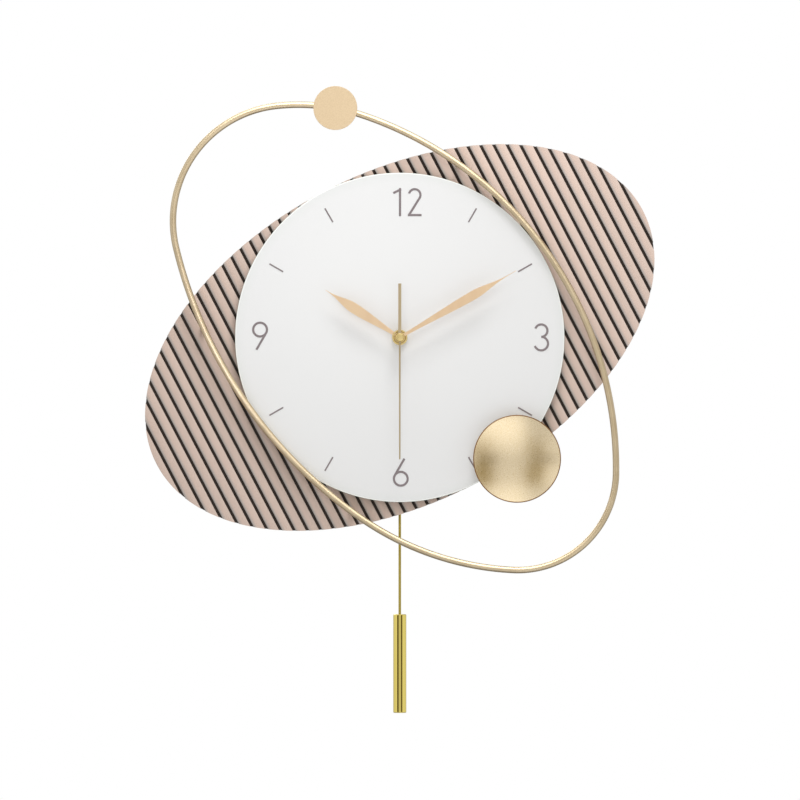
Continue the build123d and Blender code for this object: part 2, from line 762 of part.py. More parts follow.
def wood_screw(sheet, at, bite=SCREW_BITE):
    """A screw through sheet metal into what lies in front of it."""
    seat = board_back - sheet
    return screw(SCREW_DIAMETER, bite, SCREW_HEAD_DIAMETER, SCREW_HEAD_HEIGHT, seat, at)


def flush_head(grow, at):
    """The cone of a countersunk head, flush with the wall side of the hanger plate."""
    wide = FLUSH_HEAD_DIAMETER / 2 + grow
    narrow = SCREW_DIAMETER / 2 + grow
    base = (Align.CENTER, Align.CENTER, Align.MIN)
    return Pos(*at) * Cone(wide, narrow, HANGER_PLATE_THICKNESS, align=base)


def hanger_plate():
    """Flat steel plate at the wall, with a keyhole and two countersunk holes."""
    level = (0.0, HANGER_PLATE_THICKNESS)
    width = HANGER_POCKET + 2 * HANGER_BLOCK_WIDTH
    plate = slab(Pos(0, HANGER_RISE) * Rectangle(width, HANGER_HEIGHT), level)
    plate -= bar(KEYHOLE_DIAMETER, level, (0.0, HANGER_RISE))
    plate -= slab(Pos(0, HANGER_RISE + KEYHOLE_RUN / 2) * Rectangle(KEYHOLE_SLOT, KEYHOLE_RUN), level)
    plate -= bar(KEYHOLE_SLOT, level, (0.0, HANGER_RISE + KEYHOLE_RUN))
    for place in hanger_screw_places:
        plate -= flush_head(HOLE_CLEARANCE, place)
    return plate


def hanger_blocks():
    """Two blocks that hold the plate off the board and leave room for the wall screw's head."""
    level = (HANGER_PLATE_THICKNESS, board_back)
    blocks = []
    for place in hanger_screw_places:
        body = slab(Pos(*place) * Rectangle(HANGER_BLOCK_WIDTH, HANGER_HEIGHT), level)
        blocks.append(body - bar(SCREW_DIAMETER + 2 * HOLE_CLEARANCE, level, place))
    return blocks


def hanger_screws():
    """Countersunk screws through the plate and each block into the board."""
    head_level = (0.0, HANGER_PLATE_THICKNESS)
    screws = []
    for place in hanger_screw_places:
        body = bar(SCREW_DIAMETER, (0.0, board_back + SCREW_BITE), place) + flush_head(0.0, place)
        screws.append(body - cross_slot(SCREW_DIAMETER, FLUSH_HEAD_DIAMETER, head_level, place))
    return screws


def standoff_posts():
    """Plastic posts that hold the lower board off the wall, each pressed in by its spigot."""
    posts = []
    for place in standoff_places:
        post = bar(STANDOFF_DIAMETER, (FOOT_THICKNESS, board_back), place)
        posts.append(post + bar(SPIGOT_DIAMETER, (board_back, board_back + SPIGOT_LENGTH), place))
    return posts


def standoff_feet():
    """Rubber pads on the posts, flat against the wall."""
    return [bar(STANDOFF_DIAMETER, (0.0, FOOT_THICKNESS), place) for place in standoff_places]


def case_outline(inset):
    """The movement case's rounded outline, drawn in from its edge."""
    height = CASE_TOP - case_bottom - 2 * inset
    width = 2 * (case_half - inset)
    middle = (CASE_TOP + case_bottom) / 2
    return Pos(0, middle) * RectangleRounded(width, height, CASE_CORNER - inset)


def movement_case():
    """Plastic front case: a tray with bosses, pillars, battery bay and bearings."""
    inside = (case_back, inner_front)
    half = case_half - CASE_WALL / 2
    tray = slab(case_outline(0.0), (case_back, case_front))
    tray -= slab(case_outline(CASE_WALL), inside)
    tray += block((-half, half), (bay_top - CASE_WALL, bay_top), inside)
    tray += block((-half, half), (bay_bottom - CASE_WALL, bay_bottom), inside)
    for place in boss_places:
        tray += bar(CASE_BOSS_DIAMETER, inside, place)
        depth = CASE_SCREW_BITE + SEAT_FIT
        tray -= bar(CASE_SCREW_DIAMETER + 2 * SEAT_FIT, (case_back, case_back + depth), place)
    for place in pillar_places:
        tray += bar(PILLAR_DIAMETER, (bridge_level[1], inner_front), place)
        tray += bar(PILLAR_PEG_DIAMETER, (bridge_level[0], bridge_level[1]), place)
    cradle_z = (battery_z, inner_front)
    for side in (-1, 1):
        middle = side * CRADLE_SPREAD / 2
        width = (middle - CRADLE_WIDTH / 2, middle + CRADLE_WIDTH / 2)
        rib = block(width, (bay_bottom, bay_top - CASE_WALL), cradle_z)
        tray += rib - bar_along_x(BATTERY_DIAMETER + 2 * SEAT_FIT, width, battery_y, battery_z)
    tray += bar(PIN_BOSS_DIAMETER, (pin_seat[0], inner_front), (0.0, pivot_y))
    tray -= bar(PIN_DIAMETER + 2 * SEAT_FIT, pin_seat, (0.0, pivot_y))
    tray -= bar(BUSH_DIAMETER + 2 * SEAT_FIT, (inner_front, case_front))
    pivot = (inner_front, inner_front + PIVOT_DEPTH)
    tray -= bar(ARBOR_DIAMETER + 2 * RUNNING_FIT, pivot, third_place)
    tray -= bar(MOTION_ARBOR_DIAMETER + 2 * RUNNING_FIT, pivot, motion_place)
    notch_x = (-NOTCH_WIDTH / 2, NOTCH_WIDTH / 2)
    notch_level = (case_back, swing_level[1] + NOTCH_GAP)
    return tray - block(notch_x, (case_bottom, case_bottom + CASE_WALL), notch_level)


def stator_bounds():
    """Left, right, low and high edges of the stator plate round the rotor."""
    left = rotor_place[0] - ROTOR_DIAMETER / 2 - STATOR_AIR_GAP - STATOR_CHEEK
    right = rotor_place[0] + STATOR_REACH
    return left, right, rotor_place[1] - STATOR_HEIGHT / 2, rotor_place[1] + STATOR_HEIGHT / 2


stator_middle = (rotor_level[0] + rotor_level[1]) / 2
stator_level = (stator_middle - STATOR_THICKNESS / 2, stator_middle + STATOR_THICKNESS / 2)


def movement_cover():
    """Back cover with the battery window, rear bearings and stator seats."""
    sheet = (cover_back, case_back)
    cover = slab(case_outline(0.0), sheet)
    half = case_half - CASE_WALL
    cover -= block((-half, half), (bay_bottom, bay_top - CASE_WALL), sheet)
    left, right, low, high = stator_bounds()
    inset = STATOR_LIMB / 2
    for x in (left + inset, right - inset):
        for y in (low + inset, high - inset):
            cover += bar(STATOR_LIMB, (case_back, stator_level[0]), (x, y))
    cover += bar(PIN_BOSS_DIAMETER, (case_back, case_back + PIN_BOSS_HEIGHT), (0.0, pivot_y))
    pin_hole = (case_back - PIVOT_DEPTH, case_back + PIN_BOSS_HEIGHT)
    cover -= bar(PIN_DIAMETER + 2 * SEAT_FIT, pin_hole, (0.0, pivot_y))
    bearings = [((0.0, 0.0), SECOND_ARBOR_DIAMETER)]
    bearings += [(place, ARBOR_DIAMETER) for place in (train_place, rotor_place)]
    for place, arbor in bearings:
        cover -= bar(arbor + 2 * RUNNING_FIT, (case_back - PIVOT_DEPTH, case_back), place)
    cover -= bar(MOTION_ARBOR_DIAMETER + 2 * RUNNING_FIT, sheet, motion_place)
    for place in boss_places:
        cover -= bar(CASE_SCREW_DIAMETER + 2 * SEAT_FIT, sheet, place)
    return cover


def case_screws():
    """Screws that hold the cover to the case."""
    shank = (CASE_SCREW_DIAMETER, CASE_WALL + CASE_SCREW_BITE)
    head = (CASE_SCREW_HEAD_DIAMETER, CASE_SCREW_HEAD_HEIGHT)
    return [screw(*shank, *head, cover_back, place) for place in boss_places]


def bridge_plate():
    """Middle plate on the pillars, with the inner bearings of the train."""
    x_range = (PILLAR_LEFT - BRIDGE_MARGIN, PILLAR_RIGHT + BRIDGE_MARGIN)
    y_range = (-PILLAR_SPREAD - BRIDGE_MARGIN, PILLAR_SPREAD + BRIDGE_MARGIN)
    plate = block(x_range, y_range, bridge_level)
    bearings = [((0.0, 0.0), SECOND_ARBOR_DIAMETER)]
    bearings += [(place, ARBOR_DIAMETER) for place in (third_place, train_place, rotor_place)]
    for place, arbor in bearings:
        plate -= bar(arbor + 2 * RUNNING_FIT, bridge_level, place)
    for place in pillar_places:
        plate -= bar(PILLAR_PEG_DIAMETER + 2 * SEAT_FIT, bridge_level, place)
    return plate


def threaded_bush():
    """Flanged brass bush through the case, board, spacer and dial."""
    bush = bar(BUSH_FLANGE_DIAMETER, flange_level) + bar(BUSH_DIAMETER, (inner_front, bush_front))
    return bush - bar(HOUR_TUBE_DIAMETER + 2 * RUNNING_FIT, (flange_level[0], bush_front))


def toothed_disc(teeth, module, level, at=(0.0, 0.0), phase=0.0):
    """A wheel with plain straight-sided teeth, one of them pointing along the phase angle."""
    pitch = FULL_TURN / teeth
    root = module * (teeth / 2 - TOOTH_DEDENDUM)
    tip = module * (teeth / 2 + TOOTH_ADDENDUM)
    corners = []
    for tooth in range(teeth):
        middle = phase + tooth * pitch
        corners.append(polar(root, middle - TOOTH_ROOT_SHARE * pitch, at))
        corners.append(polar(tip, middle - TOOTH_TIP_SHARE * pitch, at))
        corners.append(polar(tip, middle + TOOTH_TIP_SHARE * pitch, at))
        corners.append(polar(root, middle + TOOTH_ROOT_SHARE * pitch, at))
    return slab(make_face(Polyline(*corners, close=True)), level)


def module_for(reach, teeth, other_teeth):
    """The tooth module of two wheels whose centres lie a distance apart."""
    return 2 * reach / (teeth + other_teeth)


def meshing_phase(teeth, phase, other_teeth, direction):
    """Phase of a wheel, lying in a direction from another, that puts a gap before each tooth."""
    share = (direction - phase) * teeth / FULL_TURN
    return direction + HALF_TURN - (0.5 - share) * FULL_TURN / other_teeth


def hour_wheel():
    """Hour wheel and its tube, which carries the hour hand."""
    module = module_for(MOTION_REACH, MOTION_PINION_TEETH, HOUR_TEETH)
    phase = meshing_phase(MOTION_PINION_TEETH, 0.0, HOUR_TEETH, MOTION_DIRECTION + HALF_TURN)
    span = (hour_level[0], hour_hand_back + HAND_THICKNESS)
    wheel = toothed_disc(HOUR_TEETH, module, hour_level, phase=phase) + bar(HOUR_TUBE_DIAMETER, span)
    return wheel - bar(MINUTE_TUBE_DIAMETER + 2 * RUNNING_FIT, span)


def motion_wheel():
    """Motion-work wheel and pinion on the arbor of the setting knob."""
    wheel_module = module_for(MOTION_REACH, CANNON_TEETH, MOTION_TEETH)
    pinion_module = module_for(MOTION_REACH, MOTION_PINION_TEETH, HOUR_TEETH)
    phase = meshing_phase(CANNON_TEETH, 0.0, MOTION_TEETH, MOTION_DIRECTION)
    arbor = bar(MOTION_ARBOR_DIAMETER, (KNOB_WALL_GAP, inner_front + PIVOT_DEPTH), motion_place)
    wheel = toothed_disc(MOTION_TEETH, wheel_module, motion_level, motion_place, phase)
    pinion_span = (motion_level[1], hour_level[1])
    return arbor + wheel + toothed_disc(MOTION_PINION_TEETH, pinion_module, pinion_span, motion_place)


def centre_wheel():
    """Centre wheel, cannon pinion and tube, which carries the minute hand."""
    wheel_module = module_for(THIRD_REACH, PINION_TEETH, CENTRE_TEETH)
    cannon_module = module_for(MOTION_REACH, CANNON_TEETH, MOTION_TEETH)
    phase = meshing_phase(PINION_TEETH, 0.0, CENTRE_TEETH, THIRD_DIRECTION + HALF_TURN)
    span = (centre_level[0], minute_hand_back + HAND_THICKNESS)
    wheel = toothed_disc(CENTRE_TEETH, wheel_module, centre_level, phase=phase)
    wheel += toothed_disc(CANNON_TEETH, cannon_module, (centre_level[1], motion_level[1]))
    wheel += bar(MINUTE_TUBE_DIAMETER, span)
    return wheel - bar(SECOND_ARBOR_DIAMETER + 2 * RUNNING_FIT, span)


def third_wheel():
    """Third wheel and pinion between the second wheel and the centre wheel."""
    wheel_module = module_for(THIRD_REACH, PINION_TEETH, THIRD_TEETH)
    pinion_module = module_for(THIRD_REACH, PINION_TEETH, CENTRE_TEETH)
    phase = meshing_phase(PINION_TEETH, 0.0, THIRD_TEETH, THIRD_DIRECTION)
    arbor = bar(ARBOR_DIAMETER, (bridge_level[0], inner_front + PIVOT_DEPTH), third_place)
    wheel = toothed_disc(THIRD_TEETH, wheel_module, third_level, third_place, phase)
    pinion_span = (third_level[1], centre_level[1])
    return arbor + wheel + toothed_disc(PINION_TEETH, pinion_module, pinion_span, third_place)


def second_wheel():
    """Second wheel, pinion and the long arbor of the second hand."""
    wheel_module = module_for(TRAIN_REACH, PINION_TEETH, SECOND_TEETH)
    pinion_module = module_for(THIRD_REACH, PINION_TEETH, THIRD_TEETH)
    arbor = bar(SECOND_ARBOR_DIAMETER, (case_back - PIVOT_DEPTH, second_hand_back + HAND_THICKNESS))
    wheel = toothed_disc(SECOND_TEETH, wheel_module, second_level)
    return arbor + wheel + toothed_disc(PINION_TEETH, pinion_module, third_level)


def train_wheel():
    """Wheel and pinion between the motor's rotor and the second wheel."""
    wheel_module = module_for(ROTOR_REACH, PINION_TEETH, TRAIN_TEETH)
    pinion_module = module_for(TRAIN_REACH, PINION_TEETH, SECOND_TEETH)
    phase = meshing_phase(SECOND_TEETH, 0.0, PINION_TEETH, TRAIN_DIRECTION)
    arbor = bar(ARBOR_DIAMETER, (case_back - PIVOT_DEPTH, bridge_level[1]), train_place)
    wheel = toothed_disc(TRAIN_TEETH, wheel_module, train_level, train_place)
    pinion_span = (train_level[1], second_level[1])
    return arbor + wheel + toothed_disc(PINION_TEETH, pinion_module, pinion_span, train_place, phase)


def rotor():
    """Round magnet of the stepping motor with its pinion."""
    module = module_for(ROTOR_REACH, PINION_TEETH, TRAIN_TEETH)
    phase = meshing_phase(TRAIN_TEETH, 0.0, PINION_TEETH, ROTOR_DIRECTION)
    arbor = bar(ARBOR_DIAMETER, (case_back - PIVOT_DEPTH, bridge_level[1]), rotor_place)
    magnet = bar(ROTOR_DIAMETER, rotor_level, rotor_place)
    pinion_span = (rotor_level[1], train_level[1])
    return arbor + magnet + toothed_disc(PINION_TEETH, module, pinion_span, rotor_place, phase)


def stator():
    """Flat iron frame round the rotor, with the limb that the motor coil is wound on."""
    left, right, low, high = stator_bounds()
    plate = block((left, right), (low, high), stator_level)
    hole = ROTOR_DIAMETER + 2 * STATOR_AIR_GAP
    window_left = rotor_place[0] + hole / 2 + STATOR_CHEEK
    window_y = (low + STATOR_LIMB, high - STATOR_LIMB)
    plate -= block((window_left, right - STATOR_LIMB), window_y, stator_level)
    return plate - bar(hole, stator_level, rotor_place)


def stepper_coil():
    """Winding round the stator's limb."""
    right, low, high = stator_bounds()[1:]
    limb = (right - STATOR_LIMB - SEAT_FIT, right + SEAT_FIT)
    core_level = (stator_level[0] - SEAT_FIT, stator_level[1] + SEAT_FIT)
    length = (low + STATOR_LIMB + SEAT_FIT, high - STATOR_LIMB - SEAT_FIT)
    outer_x = (limb[0] - WINDING_WALL, limb[1] + WINDING_WALL)
    outer_level = (core_level[0] - WINDING_WALL / 2, core_level[1] + WINDING_WALL)
    return block(outer_x, length, outer_level) - block(limb, length, core_level)


def set_knob():
    """Ribbed knob behind the cover for setting the hands."""
    level = (KNOB_WALL_GAP, KNOB_WALL_GAP + KNOB_THICKNESS)
    module = KNOB_DIAMETER / (KNOB_RIBS + 2 * TOOTH_ADDENDUM)
    knob = toothed_disc(KNOB_RIBS, module, level, motion_place)
    return knob - bar(MOTION_ARBOR_DIAMETER + 2 * SEAT_FIT, level, motion_place)


def case_gasket():
    """Rubber ring between the movement and the board."""
    return tube(GASKET_DIAMETER, BUSH_DIAMETER + 2 * HOLE_CLEARANCE, (case_front, board_back))


def dial_washer():
    """Washer between the glass and the nut."""
    level = (dial_front, dial_front + DIAL_WASHER_THICKNESS)
    return tube(DIAL_WASHER_DIAMETER, BUSH_DIAMETER + 2 * HOLE_CLEARANCE, level)


def dial_nut():
    """Nut on the bush that clamps the dial, board and movement together."""
    low = dial_front + DIAL_WASHER_THICKNESS
    return hexagon(DIAL_NUT_ACROSS, BUSH_DIAMETER + 2 * SEAT_FIT, (low, low + DIAL_NUT_THICKNESS))


def battery():
    """Single cell lying across the case."""
    half = BATTERY_LENGTH / 2
    body = bar_along_x(BATTERY_DIAMETER, (-half, half - BATTERY_NUB_LENGTH), battery_y, battery_z)
    nub = bar_along_x(BATTERY_NUB_DIAMETER, (half - BATTERY_NUB_LENGTH, half), battery_y, battery_z)
    return body + nub


def battery_contacts():
    """Bowed leaf contacts at both ends of the cell."""
    leaves = []
    wall = case_half - CASE_WALL
    half = CONTACT_WIDTH / 2
    foot = half - 2 * CONTACT_SHEET
    crest = BATTERY_LENGTH / 2 + SEAT_FIT
    level = (battery_z - CONTACT_HEIGHT / 2, battery_z + CONTACT_HEIGHT / 2)
    for side in (-1, 1):
        edge = side * wall
        edges = [
            ThreePointArc((edge, battery_y - half), (side * crest, battery_y), (edge, battery_y + half)),
            Line((edge, battery_y + half), (edge, battery_y + foot)),
            ThreePointArc(
                (edge, battery_y + foot),
                (side * (crest + CONTACT_SHEET), battery_y),
                (edge, battery_y - foot),
            ),
            Line((edge, battery_y - foot), (edge, battery_y - half)),
        ]
        leaves.append(slab(make_face(Curve(edges)), level))
    return leaves


def circuit_board():
    """Circuit board on the case's front wall, with its sealed chip."""
    high = pivot_y - PIN_BOSS_DIAMETER / 2 - CIRCUIT_GAP
    low = case_bottom + CASE_WALL + CIRCUIT_GAP
    half = CIRCUIT_WIDTH / 2
    board = block((-half, half), (low, high), (circuit_back, inner_front))
    chip_x = half - CHIP_DIAMETER / 2 - CIRCUIT_GAP
    return board + bar(CHIP_DIAMETER, (circuit_back - CHIP_HEIGHT, circuit_back), (chip_x, magnet_y))


def pendulum_coil():
    """Drive coil on the circuit board, facing the magnet."""
    return tube(COIL_DIAMETER, COIL_BORE, (swing_level[1] + COIL_GAP, circuit_back), (0.0, magnet_y))


def pivot_pin():
    """Steel pin that the pendulum swings on."""
    return bar(PIN_DIAMETER, (case_back - PIVOT_DEPTH, pin_seat[1]), (0.0, pivot_y))


def swing_arm():
    """Plastic arm with its hub, magnet ring and the peg that the rod hangs on."""
    outline = Pos(0, pivot_y) * Circle(SWING_HUB_DIAMETER / 2)
    outline += Pos(0, (pivot_y + peg_y) / 2) * Rectangle(SWING_WIDTH, pivot_y - peg_y)
    outline += Pos(0, magnet_y) * Circle(MAGNET_DIAMETER / 2 + MAGNET_RIM)
    outline += Pos(0, peg_y) * Circle(SWING_END_DIAMETER / 2)
    arm = slab(outline, swing_level)
    arm -= bar(PIN_DIAMETER + 2 * RUNNING_FIT, swing_level, (0.0, pivot_y))
    arm -= bar(MAGNET_DIAMETER + 2 * SEAT_FIT, swing_level, (0.0, magnet_y))
    return arm + bar(PEG_DIAMETER, (swing_level[1], eye_level[1] + PEG_TAIL), (0.0, peg_y))


def pendulum_magnet():
    """Round magnet in the swing arm."""
    return bar(MAGNET_DIAMETER, swing_level, (0.0, magnet_y))


def pendulum_rod():
    """Thin rod with an eye that hangs on the peg."""
    hole = PEG_DIAMETER + 2 * SEAT_FIT
    rod = bar(EYE_DIAMETER, eye_level, (0.0, peg_y))
    rod += bar_along_y(ROD_DIAMETER, (bob_top - ROD_BITE, peg_y - PEG_DIAMETER), 0.0, rod_z)
    return rod - bar(hole, eye_level, (0.0, peg_y))


def bob_tube():
    """Polished tube of the bob."""
    span = (bob_top - BOB_LENGTH, bob_top)
    shell = bar_along_y(BOB_DIAMETER, span, 0.0, rod_z)
    shell = chamfer(shell.edges().filter_by(GeomType.CIRCLE), BOB_BEVEL)
    return shell - bar_along_y(BOB_DIAMETER - 2 * BOB_WALL, span, 0.0, rod_z)


def bob_caps():
    """Plugs in both ends of the bob, the upper one gripping the rod."""
    diameter = BOB_DIAMETER - 2 * BOB_WALL - 2 * SEAT_FIT
    upper_span = (bob_top - BOB_CAP_LENGTH, bob_top)
    lower_span = (bob_top - BOB_LENGTH, bob_top - BOB_LENGTH + BOB_CAP_LENGTH)
    upper = bar_along_y(diameter, upper_span, 0.0, rod_z)
    upper -= bar_along_y(ROD_DIAMETER + 2 * SEAT_FIT, upper_span, 0.0, rod_z)
    return [upper, bar_along_y(diameter, lower_span, 0.0, rod_z)]


def blade(length, width):
    """Outline of a lance-shaped hand pointing up: narrow root, wide belly, needle tip."""
    half = width / 2
    tip = BLADE_TIP_WIDTH / 2
    right = [
        (half * BLADE_ROOT_SHARE, 0.0),
        (half, length * BLADE_WIDEST_AT),
        (half * BLADE_NECK_SHARE, length * BLADE_NECK_AT),
        (tip, length),
    ]
    left = [(-x, y) for x, y in reversed(right)]
    edges = [Spline(*right), Line(right[-1], left[0]), Spline(*left), Line(left[-1], right[0])]
    return make_face(Curve(edges))


def hand(outline, hub_diameter, tube_diameter, back, angle):
    """A flat hand with its hub, and a collet behind it that grips its tube."""
    level = (back, back + HAND_THICKNESS)
    collet = (back - COLLET_LENGTH, back)
    plate = slab(Rot(0, 0, -angle) * outline + Circle(hub_diameter / 2), level)
    plate += bar(tube_diameter + 2 * COLLET_WALL, collet)
    return plate - bar(tube_diameter + 2 * SEAT_FIT, (collet[0], level[1]))


def hour_hand():
    """Short hand."""
    outline = blade(HOUR_LENGTH, HOUR_WIDTH)
    return hand(outline, HOUR_HUB_DIAMETER, HOUR_TUBE_DIAMETER, hour_hand_back, HOUR_ANGLE)


def minute_hand():
    """Long hand."""
    outline = blade(MINUTE_LENGTH, MINUTE_WIDTH)
    return hand(outline, MINUTE_HUB_DIAMETER, MINUTE_TUBE_DIAMETER, minute_hand_back, MINUTE_ANGLE)


def second_hand():
    """Needle with a wider tail."""
    half = SECOND_WIDTH / 2
    tip = BLADE_TIP_WIDTH / 2
    needle = Polyline((half, 0.0), (tip, SECOND_LENGTH), (-tip, SECOND_LENGTH), (-half, 0.0), close=True)
    outline = make_face(needle)
    outline += Pos(0, -SECOND_TAIL_LENGTH / 2) * Rectangle(SECOND_TAIL_WIDTH, SECOND_TAIL_LENGTH)
    return hand(outline, SECOND_HUB_DIAMETER, SECOND_ARBOR_DIAMETER, second_hand_back, SECOND_ANGLE)


def hub_cap():
    """Turned cap on the second hand."""
    low = second_hand_back + HAND_THICKNESS
    cap = bar(SECOND_HUB_DIAMETER, (low, low + HUB_CAP_HEIGHT))
    rim = cap.edges().filter_by(GeomType.CIRCLE).sort_by(Axis.Z)[-1]
    return fillet(rim, HUB_CAP_HEIGHT / 2)


def save(name, piece):
    """Stand a piece, or a list of like pieces, upright at the hanger and write it."""
    solids = piece if isinstance(piece, list) else [piece]
    solids = [solid for item in solids for solid in item.solids()]
    shape = solids[0] if len(solids) == 1 else Compound(solids)
    upright = Plane.XZ.location * Pos(0, -HANGER_RISE, 0) * shape
    export_step(upright, f"parts/{name}.step")
    print(f"{name}: {len(solids)} solids")


pieces = [
    back_board, slats, dial_spacer, dial_glass, dial_markings,
    gold_loop, loop_sleeves, loop_washers, loop_nuts, loop_disc,
    bowl, bowl_post, bowl_arm,
    hanger_plate, hanger_blocks, hanger_screws, standoff_posts, standoff_feet,
    movement_case, movement_cover, case_screws, bridge_plate, threaded_bush,
    case_gasket, dial_washer, dial_nut,
    hour_wheel, motion_wheel, centre_wheel, third_wheel, second_wheel, train_wheel, rotor,
    stator, stepper_coil, set_knob, battery, battery_contacts, circuit_board,
    pendulum_coil, pivot_pin, swing_arm, pendulum_magnet, pendulum_rod, bob_tube, bob_caps,
    hour_hand, minute_hand, second_hand, hub_cap,
]

os.makedirs("parts", exist_ok=True)
for piece in pieces:
    save(piece.__name__, piece())
save("bowl_arm_screws", [wood_screw(ARM_THICKNESS, place) for place in arm_screw_places])
save("bowl_post_screw", wood_screw(ARM_THICKNESS, post_place, POST_THREAD_DEPTH))
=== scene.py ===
# %% [markdown]
# # A pendulum wall clock, dressed in Blender
# The imported CAD model is the fixed frame: it says where every piece is and what it moves with.
# Most pieces that show are modelled again here with finer edges and a real finish, in the same
# metres and the same axes; the rest keep their CAD shape and only get a finish. X is to the right,
# Z is up, and the dial faces -Y.

# %% Load the frame
import bpy
import bmesh
import json
from math import asin, cos, hypot, pi, radians, sin, sqrt
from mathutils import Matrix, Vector


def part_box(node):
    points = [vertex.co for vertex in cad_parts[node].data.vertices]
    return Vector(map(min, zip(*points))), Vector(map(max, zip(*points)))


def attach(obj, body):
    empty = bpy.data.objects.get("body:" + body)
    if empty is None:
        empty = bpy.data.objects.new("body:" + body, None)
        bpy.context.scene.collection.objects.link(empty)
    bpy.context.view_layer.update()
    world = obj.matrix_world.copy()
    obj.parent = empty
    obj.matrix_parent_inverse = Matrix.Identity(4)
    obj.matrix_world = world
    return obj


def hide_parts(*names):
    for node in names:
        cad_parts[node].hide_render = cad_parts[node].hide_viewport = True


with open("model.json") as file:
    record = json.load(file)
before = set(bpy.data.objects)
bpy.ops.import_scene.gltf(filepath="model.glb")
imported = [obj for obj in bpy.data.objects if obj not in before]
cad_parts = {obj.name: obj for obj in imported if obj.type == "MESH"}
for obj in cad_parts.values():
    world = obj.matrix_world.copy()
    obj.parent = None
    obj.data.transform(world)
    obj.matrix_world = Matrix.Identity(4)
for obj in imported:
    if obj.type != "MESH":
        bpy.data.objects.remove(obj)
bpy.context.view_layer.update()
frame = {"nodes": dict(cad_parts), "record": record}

# %% [markdown]
# ## Measures
# The clock was measured in millimetres from the middle of the dial: x to the right, y up, and
# out from the wall. One small function turns such a place into Blender's metres. The heights
# below are distances from the wall, the same as in the CAD model.

# %% Places and heights
MM = 0.001
DIAL_DROP = 95.0
BOARD_BACK, BOARD_FRONT, SLAT_FRONT = 27.7, 33.7, 37.7
DIAL_BACK, DIAL_FRONT, DIAL_RADIUS = 41.7, 45.7, 150.0
LOOP_OUT = 49.7


def at(x, y, out):
    """A place on the clock, from millimetres round the dial's middle to Blender's metres."""
    return Vector((x, -out, y - DIAL_DROP)) * MM


print("dial middle:", at(0, 0, DIAL_FRONT)[:])

# %% [markdown]
# Some places are easier to read from the CAD model than to write down again. The loop stands on
# studs in sleeves, and one CAD node holds all the sleeves, so its points are grouped by how close
# they lie. The middle of each group is a stud's place.

# %% Places of the studs
SLEEVE_REACH = 20.0


def middles(node, reach):
    """The middle of each small solid in a CAD node, found by grouping points that lie close."""
    groups = []
    for vertex in frame["nodes"][node].data.vertices:
        for group in groups:
            if (vertex.co - group[0]).length < reach * MM:
                group.append(vertex.co)
                break
        else:
            groups.append([vertex.co])
    found = []
    for group in groups:
        low = Vector([min(point[axis] for point in group) for axis in range(3)])
        high = Vector([max(point[axis] for point in group) for axis in range(3)])
        found.append((low + high) / 2)
    return found


stud_middles = middles("loop_sleeves", SLEEVE_REACH)
print("studs:", len(stud_middles))

# %% [markdown]
# ## Drawing and spinning
# Every piece starts with everything deselected, because an operator acts on all that is selected. A
# turned piece starts as a single point that is extruded along its profile and spun, as on a lathe.
# Stacked cylinders would be another way, but they leave hidden faces inside.

# %% Drawing and spinning
TOUCHING = 1e-6


def fresh():
    """Leave every piece alone before a new one starts."""
    bpy.ops.object.select_all(action="DESELECT")


def choose(*pieces):
    """Select these pieces alone, with the first one active."""
    fresh()
    for piece in pieces:
        piece.select_set(True)
    bpy.context.view_layer.objects.active = pieces[0]


def edit():
    bpy.ops.object.mode_set(mode="EDIT")


def apply_place():
    """Put the active object's place, turn and size into its mesh."""
    bpy.ops.object.transform_apply(location=True, rotation=True, scale=True)


def draw_line(name, points):
    """Merge a small plane to one point in edit mode, and extrude it from place to place."""
    fresh()
    bpy.ops.mesh.primitive_plane_add(size=MM)
    piece = bpy.context.object
    piece.name = name
    edit()
    bpy.ops.mesh.select_mode(type="VERT")
    bpy.ops.mesh.merge(type="CENTER")
    bpy.ops.transform.translate(value=points[0])
    for start, end in zip(points, points[1:]):
        bpy.ops.mesh.extrude_vertices_move(TRANSFORM_OT_translate={"value": end - start})
    return piece


def close_up(within=TOUCHING):
    """Merge doubles and point every face outwards."""
    bpy.ops.mesh.select_all(action="SELECT")
    bpy.ops.mesh.remove_doubles(threshold=within)
    bpy.ops.mesh.normals_make_consistent(inside=False)


def turned(name, profile, steps=96):
    """Spin a profile of (radius, height) pairs in millimetres about the Z axis."""
    piece = draw_line(name, [Vector((radius, 0.0, height)) * MM for radius, height in profile])
    bpy.ops.mesh.select_all(action="SELECT")
    bpy.ops.mesh.spin(steps=steps, angle=2 * pi, center=(0, 0, 0), axis=(0, 0, 1))
    close_up()
    return piece


def rod_profile(radius, low, high):
    """The profile of a plain rod, from the axis out and back."""
    return [(0.0, low), (radius, low), (radius, high), (0.0, high)]


def ring_profile(inner, outer, low, high):
    """The closed profile of a plain ring."""
    return [(inner, low), (outer, low), (outer, high), (inner, high), (inner, low)]


# %% [markdown]
# ## Breaking edges
# No real edge is perfectly sharp, and the small rounding is what catches the light. So sharp edges
# are selected by their angle and bevelled. A Bevel modifier with an angle limit would do the same,
# but the operator shows its result in the mesh at once.

# %% Breaking edges
def soften(width, segments=3, sharper_than=35.0, keep_apart=False):
    """Bevel the edges that are sharper than an angle, and keep close bevels apart where asked."""
    bpy.ops.mesh.select_mode(type="EDGE")
    bpy.ops.mesh.select_all(action="DESELECT")
    bpy.ops.mesh.edges_select_sharp(sharpness=radians(sharper_than))
    bpy.ops.mesh.bevel(offset=width * MM, segments=segments, affect="EDGES", clamp_overlap=keep_apart)


def pick(test):
    """In edit mode, select the points whose place passes a test."""
    bpy.ops.mesh.select_mode(type="VERT")
    bpy.ops.mesh.select_all(action="DESELECT")
    mesh = bmesh.from_edit_mesh(bpy.context.object.data)
    for vertex in mesh.verts:
        vertex.select = test(vertex.co)
    mesh.select_flush_mode()
    bmesh.update_edit_mesh(bpy.context.object.data)


